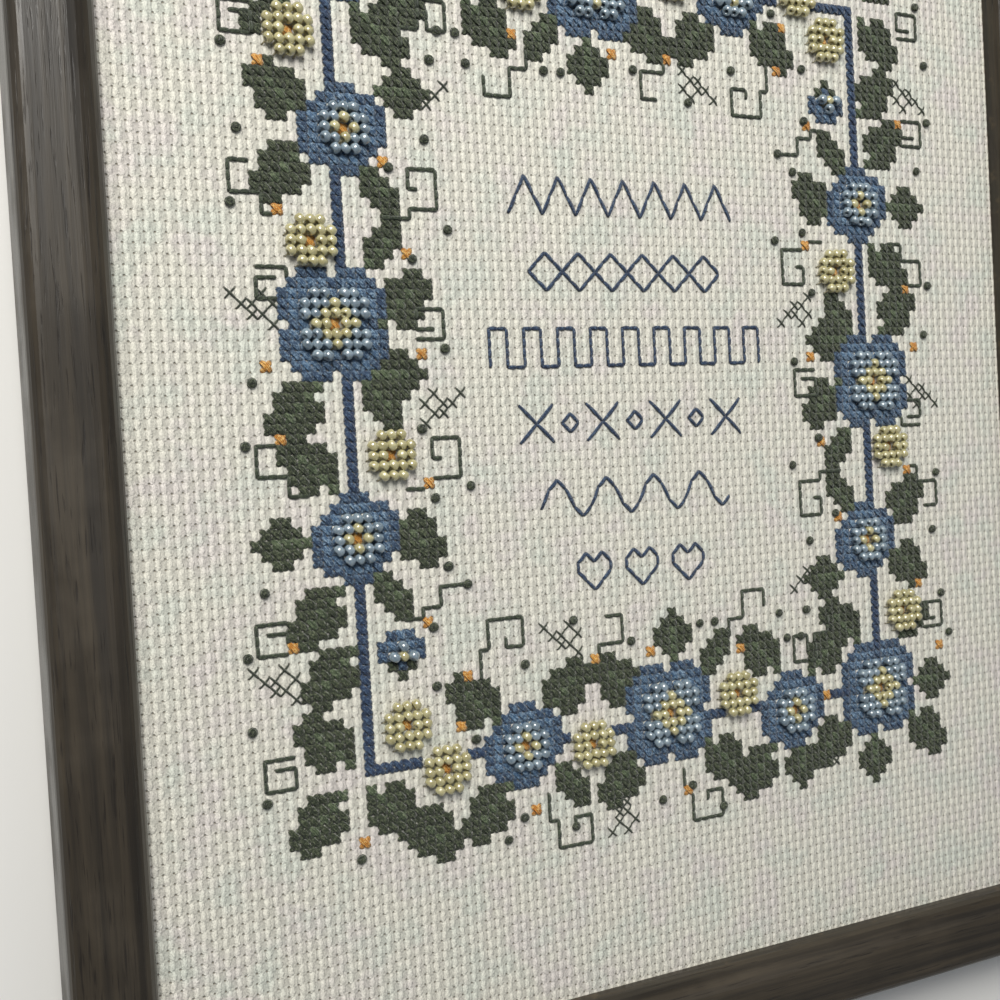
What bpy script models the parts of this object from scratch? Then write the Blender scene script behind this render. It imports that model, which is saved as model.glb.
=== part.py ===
"""A framed cross stitch sampler, lying on its back.

The face looks along +Z and the top of the design lies towards +Y. The origin is the middle of
the plane on which the four rails rest. Four mitred rails of plain dark moulding hold a board
that is covered with one piece of cloth. The cloth lies over the board's face, turns round its
four edges and ends in mitred margins on its back. Flat metal points in slots of the rails keep
the covered board against the lip. Every knot of the needlework is raised in the cloth's face.
"""

import math

import bmesh
import bpy
from mathutils import Vector, geometry

# The cloth's weave: fourteen cells to the inch.
INCH = 0.0254
CELL = INCH / 14

# The covered board, cut to a common frame size of eight by ten inches.
PANEL_WIDTH = 8 * INCH
PANEL_HEIGHT = 10 * INCH

# Space kept between neighbouring pieces.
GAP = 0.0003

# The rail's section: u runs outwards from the sight edge, z up from the back.
LIP_COVER = 0.0031
LIP_HEIGHT = 0.0104
LIP_NOSE = 0.0014
RAIL_FACE = 0.0140
RAIL_DEPTH = 0.0170
CROWN_START = 0.0048
OUTER_ROUND = 0.0026
BACK_CHAMFER = 0.0006
REBATE_CLEARANCE = 0.0006
CROWN_STEPS = 6
ROUND_STEPS = 5

# The cloth and its board.
CLOTH_THICKNESS = 0.0010
CLOTH_FOLD_RADIUS = 0.0013
FOLD_STEPS = 3
CORNER_STEPS = 3
TURNED_MARGIN = 0.0380
MITRE_SLIT = 0.0006
BOARD_THICKNESS = 0.0030

# The flat points that hold the panel: two in each rail.
POINT_LENGTH = 0.0150
POINT_WIDTH = 0.0065
POINT_THICKNESS = 0.0005
POINT_IN_RAIL = 0.0050
POINT_NECK = 0.55
POINT_SPREAD = 0.5

# French knots: a cell and a little more across.
KNOT_RADIUS = 0.00105
KNOT_SHOULDER_RADIUS = 0.00084
KNOT_SHOULDER_HEIGHT = 0.00065
KNOT_HEIGHT = 0.00105
KNOT_SIDES = 8

# Column and row, in cells from the middle of the panel, of each knot in the left and lower
# half of the design. The other half repeats them, turned half round.
KNOTS = (
    ("upper left corner", ((-43, 30), (-44, 35), (-22, 30), (-21, 33))),
    ("left side, upper half", ((-42, 22), (-43, 15), (-27, 19), (-23, 22), (-25, 10), (-21, 13))),
    ("left side, middle", ((-42, -2), (-43, -8), (-22, 1), (-25, -7), (-20, -13), (-24, -14))),
    ("left side, lower half", ((-42, -22), (-44, -28), (-23, -21), (-25, -27), (-21, -23))),
    ("lower left corner", ((-44, -35), (-43, -42), (-34, -49), (-21, -39), (-25, -33))),
    ("lower side, left half", ((-15, -32), (-16, -48), (-18, -50), (-10, -50), (-9, -28), (-2, -31))),
    ("lower side, right half", ((7, -30), (9, -30), (1, -49), (5, -48), (9, -51))),
    ("lower side, right end", ((18, -30), (19, -33))),
)

# Colour, roughness and metallic value of each finish.
FINISHES = {
    "stained_wood": ((0.050, 0.036, 0.026, 1.0), 0.42, 0.0),
    "cloth": ((0.640, 0.620, 0.560, 1.0), 0.92, 0.0),
    "mount_board": ((0.460, 0.430, 0.370, 1.0), 0.88, 0.0),
    "steel": ((0.420, 0.410, 0.390, 1.0), 0.38, 1.0),
}

SIGHT_HALF_WIDTH = PANEL_WIDTH / 2 - LIP_COVER
SIGHT_HALF_HEIGHT = PANEL_HEIGHT / 2 - LIP_COVER
REBATE_U = LIP_COVER + REBATE_CLEARANCE
CLOTH_TOP = LIP_HEIGHT - GAP
BOARD_TOP = CLOTH_TOP - CLOTH_THICKNESS - GAP
BOARD_BOTTOM = BOARD_TOP - BOARD_THICKNESS
CLOTH_BOTTOM = BOARD_BOTTOM - GAP - CLOTH_THICKNESS
POINT_TOP = CLOTH_BOTTOM - GAP


def clear_scene():
    """Remove whatever objects the scene holds."""
    for item in list(bpy.data.objects):
        bpy.data.objects.remove(item, do_unlink=True)


def finish_material(name):
    """The plain material of a finish, with its colour, roughness and metallic value."""
    if name in bpy.data.materials:
        return bpy.data.materials[name]
    colour, roughness, metallic = FINISHES[name]
    material = bpy.data.materials.new(name)
    material.use_nodes = True
    shader = material.node_tree.nodes["Principled BSDF"]
    shader.inputs["Base Color"].default_value = colour
    shader.inputs["Roughness"].default_value = roughness
    shader.inputs["Metallic"].default_value = metallic
    material.diffuse_color = colour
    return material


def make_object(name, mesh_data, finish):
    """Put a closed mesh into the scene under its own name and finish."""
    bmesh.ops.recalc_face_normals(mesh_data, faces=mesh_data.faces[:])
    mesh = bpy.data.meshes.new(name)
    mesh_data.to_mesh(mesh)
    mesh_data.free()
    item = bpy.data.objects.new(name, mesh)
    item.data.materials.append(finish_material(finish))
    bpy.context.collection.objects.link(item)
    return item


def hide_cutter(cutter):
    """Mark an object as a cutter, which is no piece of the sampler."""
    cutter.hide_render = True
    cutter.display_type = "WIRE"


def cut_away(item, cutter):
    """Subtract a cutter from a piece."""
    modifier = item.modifiers.new("cut_" + cutter.name, "BOOLEAN")
    modifier.operation = "DIFFERENCE"
    modifier.solver = "EXACT"
    modifier.object = cutter
    hide_cutter(cutter)


def box_mesh(low, high):
    """A box between two corners."""
    data = bmesh.new()
    bmesh.ops.create_cube(data, size=1.0)
    for vertex in data.verts:
        for axis in range(3):
            vertex.co[axis] = high[axis] if vertex.co[axis] > 0 else low[axis]
    return data


def rail_section():
    """Points of the rail's section as (u, z), anticlockwise from the sight edge's underside."""
    points = [(0.0, LIP_HEIGHT), (0.0, LIP_HEIGHT + LIP_NOSE)]
    rise = RAIL_DEPTH - LIP_HEIGHT - LIP_NOSE
    for step in range(1, CROWN_STEPS + 1):
        angle = math.pi / 2 * step / CROWN_STEPS
        points.append((CROWN_START * (1 - math.cos(angle)),
                       LIP_HEIGHT + LIP_NOSE + rise * math.sin(angle)))
    for step in range(ROUND_STEPS + 1):
        angle = math.pi / 2 * step / ROUND_STEPS
        points.append((RAIL_FACE - OUTER_ROUND * (1 - math.sin(angle)),
                       RAIL_DEPTH - OUTER_ROUND * (1 - math.cos(angle))))
    points.append((RAIL_FACE, BACK_CHAMFER))
    points.append((RAIL_FACE - BACK_CHAMFER, 0.0))
    points.append((REBATE_U, 0.0))
    points.append((REBATE_U, LIP_HEIGHT))
    return points


def make_rail(name, side):
    """One mitred rail. The side is the outward direction, such as (-1, 0) for the left rail."""
    outward = Vector((side[0], side[1], 0.0))
    along = Vector((-side[1], side[0], 0.0))
    if side[0]:
        reach, half_length = SIGHT_HALF_WIDTH, SIGHT_HALF_HEIGHT
    else:
        reach, half_length = SIGHT_HALF_HEIGHT, SIGHT_HALF_WIDTH
    mitre_back_off = GAP / math.sqrt(2)
    data = bmesh.new()
    ends = []
    for direction in (-1, 1):
        loop = []
        for u, z in rail_section():
            end = along * (direction * (half_length + u - mitre_back_off))
            loop.append(data.verts.new(outward * (reach + u) + end + Vector((0, 0, z))))
        ends.append(loop)
    count = len(ends[0])
    for index in range(count):
        following = (index + 1) % count
        data.faces.new((ends[0][index], ends[0][following], ends[1][following], ends[1][index]))
    data.faces.new(ends[0][::-1])
    data.faces.new(ends[1])
    rail = make_object(name, data, "stained_wood")
    rail.data.shade_smooth()
    rail.data.set_sharp_from_angle(angle=math.radians(30))
    return rail


def point_places():
    """Name, outward direction and middle of each retaining point, two in each rail."""
    places = []
    for rail_name, side in RAILS:
        half_length = SIGHT_HALF_HEIGHT if side[0] else SIGHT_HALF_WIDTH
        reach = (SIGHT_HALF_WIDTH if side[0] else SIGHT_HALF_HEIGHT) + REBATE_U
        for number, direction in enumerate((-1, 1), start=1):
            offset = direction * half_length * POINT_SPREAD
            name = rail_name.replace("rail", "point") + "_" + str(number)
            places.append((name, rail_name, side, reach, offset))
    return places


def make_point(name, side, reach, offset):
    """A flat steel point: a strip with one narrowed end, which sits in its rail's slot."""
    outline = (
        (POINT_IN_RAIL, -POINT_WIDTH / 2 * POINT_NECK),
        (POINT_IN_RAIL, POINT_WIDTH / 2 * POINT_NECK),
        (0.0, POINT_WIDTH / 2),
        (POINT_IN_RAIL - POINT_LENGTH, POINT_WIDTH / 2),
        (POINT_IN_RAIL - POINT_LENGTH, -POINT_WIDTH / 2),
        (0.0, -POINT_WIDTH / 2),
    )
    outward = Vector((side[0], side[1], 0.0))
    along = Vector((-side[1], side[0], 0.0))
    data = bmesh.new()
    loops = []
    for z in (POINT_TOP - POINT_THICKNESS, POINT_TOP):
        loops.append([data.verts.new(outward * (reach + u) + along * (offset + v) + Vector((0, 0, z)))
                      for u, v in outline])
    count = len(outline)
    for index in range(count):
        following = (index + 1) % count
        data.faces.new((loops[0][index], loops[0][following], loops[1][following], loops[1][index]))
    data.faces.new(loops[0][::-1])
    data.faces.new(loops[1])
    return make_object(name, data, "steel")


def slot_cutter(name, side, reach, offset):
    """The slot that a retaining point sits in, with the usual gap all round."""
    outward = Vector((side[0], side[1], 0.0))
    along = Vector((-side[1], side[0], 0.0))
    inner = outward * (reach - GAP) + along * (offset - POINT_WIDTH / 2 - GAP)
    outer = outward * (reach + POINT_IN_RAIL + GAP) + along * (offset + POINT_WIDTH / 2 + GAP)
    low = [min(inner[axis], outer[axis]) for axis in range(2)] + [POINT_TOP - POINT_THICKNESS - GAP]
    high = [max(inner[axis], outer[axis]) for axis in range(2)] + [POINT_TOP + GAP]
    return make_object(name, box_mesh(low, high), "steel")


def corner_ring(inset, radius):
    """Plan points, anticlockwise, of the panel's rectangle drawn in by an inset, corners rounded."""
    half_width = PANEL_WIDTH / 2 - inset
    half_height = PANEL_HEIGHT / 2 - inset
    points = []
    for quarter, (sign_x, sign_y) in enumerate(((1, 1), (-1, 1), (-1, -1), (1, -1))):
        for step in range(CORNER_STEPS + 1):
            angle = math.pi / 2 * (quarter + step / CORNER_STEPS)
            points.append((sign_x * (half_width - radius) + radius * math.cos(angle),
                           sign_y * (half_height - radius) + radius * math.sin(angle)))
    return points


def cloth_rings():
    """Inset, corner radius and height of the cloth's rings, from its face round to its inside."""
    fold = CLOTH_FOLD_RADIUS
    tight = fold / 4
    rings = []
    for step in range(FOLD_STEPS + 1):
        angle = math.pi / 2 * step / FOLD_STEPS
        inset = fold * (1 - math.sin(angle))
        rings.append((inset, max(fold - inset, tight), CLOTH_TOP - fold * (1 - math.cos(angle))))
    for step in range(FOLD_STEPS + 1):
        angle = math.pi / 2 * step / FOLD_STEPS
        inset = fold * (1 - math.cos(angle))
        rings.append((inset, max(fold - inset, tight), CLOTH_BOTTOM + fold * (1 - math.sin(angle))))
    rings.append((TURNED_MARGIN, tight, CLOTH_BOTTOM))
    rings.append((TURNED_MARGIN, tight, CLOTH_BOTTOM + CLOTH_THICKNESS))
    rings.append((CLOTH_THICKNESS, tight, CLOTH_BOTTOM + CLOTH_THICKNESS))
    rings.append((CLOTH_THICKNESS, tight, CLOTH_TOP - CLOTH_THICKNESS))
    return rings


def knot_centres():
    """Plan position of every knot, in metres from the middle of the panel."""
    centres = []
    for _, cells in KNOTS:
        for column, row in cells:
            for sign in (1, -1):
                centres.append(Vector((sign * column * CELL, sign * row * CELL)))
    return centres


def knot_loop(centre, radius):
    """Plan points of one ring of a knot."""
    return [centre + radius * Vector((math.cos(math.tau * side / KNOT_SIDES),
                                      math.sin(math.tau * side / KNOT_SIDES)))
            for side in range(KNOT_SIDES)]


def add_knotted_face(data, border):
    """Fill the cloth's face inside its border ring, with each knot raised in its points."""
    centres = knot_centres()
    plan = [Vector(vertex.co[:2]) for vertex in border]
    vertices = list(border)
    edges = [(index, (index + 1) % len(border)) for index in range(len(border))]
    for centre in centres:
        start = len(plan)
        for point in knot_loop(centre, KNOT_RADIUS):
            plan.append(point)
            vertices.append(data.verts.new((point.x, point.y, CLOTH_TOP)))
        edges += [(start + side, start + (side + 1) % KNOT_SIDES) for side in range(KNOT_SIDES)]
    triangles = geometry.delaunay_2d_cdt(plan, edges, [], 1, CELL / 1000)[2]
    for triangle in triangles:
        middle = sum((plan[index] for index in triangle), Vector((0.0, 0.0))) / 3
        if any((middle - centre).length < KNOT_RADIUS * 0.9 for centre in centres):
            continue
        data.faces.new([vertices[index] for index in triangle])
    for number, centre in enumerate(centres):
        start = len(border) + number * KNOT_SIDES
        foot = vertices[start:start + KNOT_SIDES]
        shoulder = [data.verts.new((point.x, point.y, CLOTH_TOP + KNOT_SHOULDER_HEIGHT))
                    for point in knot_loop(centre, KNOT_SHOULDER_RADIUS)]
        top = data.verts.new((centre.x, centre.y, CLOTH_TOP + KNOT_HEIGHT))
        for side in range(KNOT_SIDES):
            following = (side + 1) % KNOT_SIDES
            data.faces.new((foot[side], foot[following], shoulder[following], shoulder[side]))
            data.faces.new((shoulder[side], shoulder[following], top))


def make_cloth():
    """The one piece of cloth: knotted face, turned edges and the margins on the board's back."""
    data = bmesh.new()
    loops = []
    for inset, radius, height in cloth_rings():
        loops.append([data.verts.new((x, y, height)) for x, y in corner_ring(inset, radius)])
    count = len(loops[0])
    for outer, inner in zip(loops, loops[1:]):
        for index in range(count):
            following = (index + 1) % count
            data.faces.new((outer[index], inner[index], inner[following], outer[following]))
    data.faces.new(loops[-1][::-1])
    add_knotted_face(data, loops[0])
    cloth = make_object("aida_cloth", data, "cloth")
    for number, (sign_x, sign_y) in enumerate(((1, 1), (-1, 1), (-1, -1), (1, -1)), start=1):
        cut_away(cloth, mitre_cutter("mitre_" + str(number), sign_x, sign_y))
    return cloth


def mitre_cutter(name, sign_x, sign_y):
    """A thin blade along one mitre of the turned margins."""
    start = Vector((sign_x * (PANEL_WIDTH / 2 - CLOTH_FOLD_RADIUS * 2),
                    sign_y * (PANEL_HEIGHT / 2 - CLOTH_FOLD_RADIUS * 2), 0.0))
    inwards = Vector((-sign_x, -sign_y, 0.0)).normalized()
    across = Vector((-inwards.y, inwards.x, 0.0)) * (MITRE_SLIT / 2)
    end = start + inwards * (TURNED_MARGIN * math.sqrt(2))
    data = bmesh.new()
    loops = []
    for z in (CLOTH_BOTTOM - GAP / 2, CLOTH_BOTTOM + CLOTH_THICKNESS + GAP / 2):
        lift = Vector((0, 0, z))
        loops.append([data.verts.new(corner + lift)
                      for corner in (start - across, start + across, end + across, end - across)])
    data.faces.new(loops[0])
    data.faces.new(loops[1])
    for index in range(4):
        following = (index + 1) % 4
        data.faces.new((loops[0][index], loops[0][following], loops[1][following], loops[1][index]))
    return make_object(name, data, "cloth")


def make_board():
    """The stiff board inside the cloth."""
    inset = CLOTH_THICKNESS + GAP
    half_width = PANEL_WIDTH / 2 - inset
    half_height = PANEL_HEIGHT / 2 - inset
    data = box_mesh((-half_width, -half_height, BOARD_BOTTOM), (half_width, half_height, BOARD_TOP))
    return make_object("mount_board", data, "mount_board")


RAILS = (
    ("rail_left", (-1, 0)),
    ("rail_right", (1, 0)),
    ("rail_top", (0, 1)),
    ("rail_bottom", (0, -1)),
)


def build():
    """Build every piece of the sampler in its place."""
    clear_scene()
    rails = {name: make_rail(name, side) for name, side in RAILS}
    make_board()
    make_cloth()
    for name, rail_name, side, reach, offset in point_places():
        make_point(name, side, reach, offset)
        cut_away(rails[rail_name], slot_cutter("slot_" + name, side, reach, offset))


build()
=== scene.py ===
"""Looks of a framed cross stitch sampler that lies on its back.

The face looks along +Z and the top of the design lies towards +Y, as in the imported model. The
rails, the board and the steel points keep their own solids and get finishes. The cloth's plain
solid is replaced by a woven sheet, and the needlework is laid on it: crosses, beads, knots and
backstitches, each counted from the middle of the panel in cells of the weave.
"""

import logging
import math
from dataclasses import dataclass, field
from enum import Enum
from functools import cache
from typing import NamedTuple

import bpy
import numpy as np
from mathutils import Matrix, Vector


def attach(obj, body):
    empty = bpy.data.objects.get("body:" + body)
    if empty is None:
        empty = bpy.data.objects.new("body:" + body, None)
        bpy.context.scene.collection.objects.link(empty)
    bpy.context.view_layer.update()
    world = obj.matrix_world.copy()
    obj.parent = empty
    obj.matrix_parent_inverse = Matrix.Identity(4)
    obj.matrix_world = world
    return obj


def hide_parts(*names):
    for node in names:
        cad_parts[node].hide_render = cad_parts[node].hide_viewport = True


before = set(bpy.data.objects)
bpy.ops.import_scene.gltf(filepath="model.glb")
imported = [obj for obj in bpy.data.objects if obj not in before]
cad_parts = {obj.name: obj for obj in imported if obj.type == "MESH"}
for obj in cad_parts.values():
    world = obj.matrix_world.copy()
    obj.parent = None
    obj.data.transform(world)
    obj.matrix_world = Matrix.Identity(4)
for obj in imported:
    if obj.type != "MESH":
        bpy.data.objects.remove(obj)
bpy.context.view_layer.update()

LOG = logging.getLogger("sampler")

# The weave has fourteen cells to the inch, and the panel is 112 by 140 of them.
CELL = 0.0254 / 14
HALF_COLUMNS = 56
HALF_ROWS = 70

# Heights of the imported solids, from the plane on which the rails rest.
CLOTH_TOP = 0.0101
CLOTH_BOTTOM = 0.0045
CLOTH_THICKNESS = 0.0010

BODY = "root"
STRAND_MARK = "strand"

# Places of the colour sockets on a Mix node, which carries some for numbers and vectors too.
MIX_FACTOR = 0
MIX_FIRST = 6
MIX_SECOND = 7
MIX_RESULT = 2

Hole = tuple[int, int]
Step = tuple[Hole, Hole]
Colour = tuple[float, float, float]


def srgb(red: int, green: int, blue: int) -> Colour:
    """Linear values of a colour that is given as three numbers up to 255.

    Args:
        red: Red, 0 to 255.
        green: Green, 0 to 255.
        blue: Blue, 0 to 255.

    Returns:
        The colour in Blender's linear values.
    """
    linear = []
    for value in (red, green, blue):
        share = value / 255
        linear.append(share / 12.92 if share <= 0.04045 else ((share + 0.055) / 1.055) ** 2.4)
    return tuple(linear)


class Letter(Enum):
    """What a filled cell of the chart is worked with."""

    DARK_BLUE = "D"
    MID_BLUE = "M"
    BLUE_BEAD = "b"
    CREAM_BEAD = "c"
    ORANGE = "O"
    DARK_GREEN = "G"
    MID_GREEN = "g"
    THIN_GREEN = "x"
    NAVY = "N"


class Lie(Enum):
    """The way in which a rail's grain runs."""

    UPRIGHT = "upright"
    LEVEL = "level"


class Place(NamedTuple):
    """Where a motif lies: its middle cell, its quarter turns, and 1 where it is mirrored."""

    column: int
    row: int
    turns: int = 0
    mirrored: int = 0


MOTIFS: dict[str, tuple[str, ...]] = {
    "rosette": ("..DDD.DDD..", ".DMMMDMMMD.", "DMMbbMbbMMD", "DMbbbcbbbMD", "DMbbcccbbMD", ".DMccOccMD.",
                "DMbbcccbbMD", "DMbbbcbbbMD", "DMMbbMbbMMD", ".DMMMDMMMD.", "..DDD.DDD.."),
    "primrose": ("...DDD...", "..DMMMDD.", ".DMbbbMMD", "DMbbcbbMD", "DMbcOcbMD", "DMbbcbbMD",
                 "DMMbbbMD.", ".DDMMMD..", "...DDD..."),
    "bud": (".DMD.", "DMbMD", "DbcbD", ".GDG.", "..G.."),
    "cream": (".ccc.", "ccccc", "ccOcc", "ccccc", ".ccc."),
    "orange": ("O",),
    "leaf": (".GG...", "GGGGG.", "GGgGGG", ".GGgGG", ".GGGgG", "..GG.g"),
    "small": ("GG..", "GGG.", "GgGG", ".GgG", "..Gg"),
    "broad": ("..GG..", ".GGGG.", "GGgggg", ".GGGG.", "..GG.."),
    "sprig": ("x..x.", ".xx.x", "..xx.", "....x"),
}

# Where each motif lies, as the numbers of a Place. What comes first covers what follows, and the
# whole is repeated, turned half round.
PLACES: dict[str, tuple[tuple[int, ...], ...]] = {
    "rosette": ((-33, 40), (-34, 3), (2, -40)),
    "primrose": ((-32, 22), (-33, -18), (-16, -41), (19, -42)),
    "bud": ((-29, -30),),
    "cream": ((-37, 31), (-36, 11), (-29, -10), (-29, -37), (-25, -42), (-8, -42), (11, -39)),
    "orange": ((-40, 28), (-28, 19), (-39, 14), (-26, 10), (-41, -1), (-25, 0), (-40, -8), (-25, -13),
               (-40, -28), (-26, -27), (-23, -38), (-34, -48), (-22, -33), (-15, -48), (-7, -33), (0, -33),
               (12, -34), (4, -49), (24, -41), (-43, 36), (-29, 36), (-22, 42)),
    "leaf": ((-40, 46), (-26, 45, 0, 1), (-28, 32, 2), (-38, 25), (-38, 18, 1), (-27, 5, 0, 1), (-38, -5, 1),
             (-37, -11), (-27, -18, 2), (-37, -25, 1), (-36, -31, 1), (-37, -38), (-38, -45, 1),
             (-31, -45, 2), (-27, -48, 2), (-21, -36), (-11, -36, 0, 1), (-20, -47, 1), (-4, -36),
             (-4, -46, 1), (9, -46, 2), (15, -35), (24, -36, 0, 1), (14, -48, 1)),
    "small": ((-39, 33, 1), (-29, 16, 2), (-29, 11, 0, 1), (-30, -5, 2), (-30, -24, 2), (-11, -46, 2),
              (8, -34, 0, 1)),
    "broad": ((-32, 48, 3), (-41, 40), (-26, 26, 2), (-28, -2, 2), (-40, -18), (3, -32, 3), (20, -48, 1)),
    "sprig": ((-23, 25, 0, 1), (-42, 4), (-23, -6, 0, 1), (-42, -32), (-11, -31), (-5, -50, 3), (24, -47, 3)),
}

# Twigs in backstitch, as the holes that they pass.
TWIGS: dict[str, tuple[Hole, ...]] = {
    "spiral": ((0, 0), (3, 0), (3, 1), (6, 1), (6, 5), (3, 5), (3, 3), (4, 3)),
    "hook": ((0, 0), (0, 2), (2, 2), (2, 5), (5, 5), (5, 3)),
    "step": ((0, 0), (2, 0), (2, 1), (4, 1), (4, 3), (7, 3)),
    "curl": ((0, 0), (3, 0), (3, 3), (0, 3), (0, 1), (2, 1)),
}
TWIG_PLACES: dict[str, tuple[tuple[int, ...], ...]] = {
    "hook": ((-38, 14, 1), (-37, -13, 1), (-8, -33, 3, 1), (11, -32), (-25, 31)),
    "spiral": ((-28, 14), (-27, -13), (-13, -46, 3), (-20, -33, 3, 1), (4, -46, 3)),
    "step": ((-28, -26),),
    "curl": ((-40, -25, 2), (-40, 34, 2), (-25, 2), (-41, 9, 2, 1), (-40, -38, 2), (23, -33, 1, 1)),
}

# Bands of plain repeats in the middle: lowest row, pitch, whole width, and each repeated line.
BANDS: tuple[tuple[int, int, int, tuple[tuple[int, tuple[Hole, ...]], ...]], ...] = (
    (15, 4, 28, ((7, ((0, 0), (1, 2), (2, 4), (3, 2), (4, 0))),)),
    (7, 4, 24, ((6, ((0, 2), (1, 3), (2, 4), (3, 3), (4, 2), (3, 1), (2, 0), (1, 1), (0, 2))),)),
    (-1, 4, 34, ((9, ((0, 0), (0, 4), (2, 4), (2, 0))), (8, ((2, 0), (4, 0))))),
    (-9, 8, 28, ((4, ((0, 0), (2, 2), (4, 4))), (4, ((0, 4), (2, 2), (4, 0))),
                 (3, ((5, 2), (6, 3), (7, 2), (6, 1), (5, 2))))),
    (-17, 6, 24, ((4, ((0, 1), (1, 3), (2, 4), (3, 3), (4, 1), (5, 0), (6, 1))),)),
    (-25, 6, 16, ((3, ((2, 0), (1, 1), (0, 2), (0, 3), (1, 4), (2, 3), (3, 4), (4, 3), (4, 2), (3, 1),
                       (2, 0))),)),
)

# Holes under the middle of each knot, in the left and lower half of the design.
KNOT_HOLES: tuple[Hole, ...] = (
    (-43, 30), (-44, 35), (-22, 30), (-21, 33), (-42, 22), (-43, 15), (-27, 19), (-23, 22), (-25, 10),
    (-21, 13), (-42, -2), (-43, -8), (-22, 1), (-25, -7), (-20, -13), (-24, -14), (-42, -22), (-44, -28),
    (-23, -21), (-25, -27), (-21, -23), (-44, -35), (-43, -42), (-34, -49), (-21, -39), (-25, -33),
    (-15, -32), (-16, -48), (-18, -50), (-10, -50), (-9, -28), (-2, -31), (7, -30), (9, -30), (1, -49),
    (5, -48), (9, -51), (18, -30), (19, -33),
)


def turned(point: Hole, turns: int, mirrored: int) -> Hole:
    """Turn a point of a motif about the motif's middle.

    Args:
        point: Column and row from the motif's middle.
        turns: Quarter turns, anticlockwise.
        mirrored: 1 where the motif is mirrored first.

    Returns:
        The column and row after the turns.
    """
    x, y = (-point[0] if mirrored else point[0]), point[1]
    for _ in range(turns % 4):
        x, y = -y, x
    return x, y


@dataclass
class Chart:
    """The counted design: what each cell holds, and where the lines and knots run."""

    line_column: int = 33
    line_row: int = 41
    hidden_by: str = "DMbcON"

    def cells(self) -> dict[Hole, Letter]:
        """Work out every filled cell.

        Returns:
            The letter of each filled cell, by its column and row.
        """
        filled: dict[Hole, Letter] = {}
        for name, places in PLACES.items():
            rows = MOTIFS[name]
            half_width, half_height = max(map(len, rows)) // 2, len(rows) // 2
            for column, row, turns, mirrored in (Place(*place) for place in places):
                for down, line in enumerate(rows):
                    for along, mark in enumerate(line):
                        if mark == ".":
                            continue
                        dx, dy = turned((along - half_width, half_height - down), turns, mirrored)
                        filled.setdefault((column + dx, row + dy), Letter(mark))
                        filled.setdefault((-1 - column - dx, -1 - row - dy), Letter(mark))
        for cell in self.line_cells():
            if cell not in filled or filled[cell].value in "xGg":
                filled[cell] = Letter.NAVY
        return filled

    def line_cells(self) -> list[Hole]:
        """Cells of the straight line that frames the middle.

        Returns:
            The cells, side by side.
        """
        columns, rows = self.line_column, self.line_row
        level = [(column, row) for column in range(-columns, columns) for row in (-rows, rows - 1)]
        upright = [(column, row) for row in range(-rows, rows) for column in (-columns, columns - 1)]
        return level + upright

    def twig_steps(self, filled: dict[Hole, Letter]) -> list[tuple[Step, bool]]:
        """Work out the stitches of the twigs.

        Args:
            filled: The filled cells.

        Returns:
            Each stitch from hole to hole, with whether it lies over leaves.
        """
        steps = []
        for name, places in TWIG_PLACES.items():
            for column, row, turns, mirrored in (Place(*place) for place in places):
                points = [turned(point, turns, mirrored) for point in TWIGS[name]]
                for (x0, y0), (x1, y1) in unit_steps(points):
                    for sign in (1, -1):
                        start = (sign * (column + x0), sign * (row + y0))
                        end = (sign * (column + x1), sign * (row + y1))
                        cells = self.beside((start, end))
                        beside = [filled[cell].value for cell in cells if cell in filled]
                        if any(mark in self.hidden_by for mark in beside):
                            continue
                        steps.append(((start, end), len(beside) == 2))
        return steps

    def beside(self, step: Step) -> tuple[Hole, Hole]:
        """The two cells on both sides of a stitch one cell long.

        Args:
            step: The stitch, from hole to hole.

        Returns:
            The two cells.
        """
        (x0, y0), (x1, y1) = step
        if y0 == y1:
            return (min(x0, x1), y0), (min(x0, x1), y0 - 1)
        return (x0, min(y0, y1)), (x0 - 1, min(y0, y1))

    def band_steps(self) -> list[Step]:
        """Work out the stitches of the bands in the middle.

        Returns:
            Each stitch from hole to hole.
        """
        steps = []
        for low, pitch, width, lines in BANDS:
            for repeats, points in lines:
                for repeat in range(repeats):
                    x = repeat * pitch - width // 2
                    steps += unit_steps([(x + dx, low + dy) for dx, dy in points])
        return steps

    def knots(self) -> list[Hole]:
        """The holes under the middle of every knot."""
        return [(sign * x, sign * y) for x, y in KNOT_HOLES for sign in (1, -1)]


def unit_steps(points: list[Hole]) -> list[Step]:
    """Cut a line through holes into stitches, one cell long where it is straight.

    Args:
        points: The holes at which the line turns.

    Returns:
        The stitches, from hole to hole.
    """
    steps = []
    for (x0, y0), (x1, y1) in zip(points, points[1:]):
        count = max(abs(x1 - x0), abs(y1 - y0)) if x0 == x1 or y0 == y1 else 1
        dx, dy = (x1 - x0) // count, (y1 - y0) // count
        stops = [(x0 + dx * n, y0 + dy * n) for n in range(count + 1)]
        steps += zip(stops, stops[1:])
    return steps


def linked(name: str, data: bpy.types.ID) -> bpy.types.Object:
    """Make an object of a mesh, light or camera and put it into the scene.

    Args:
        name: The object's name.
        data: What it shows.

    Returns:
        The new object.
    """
    made = bpy.data.objects.new(name, data)
    bpy.context.scene.collection.objects.link(made)
    return made


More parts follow.
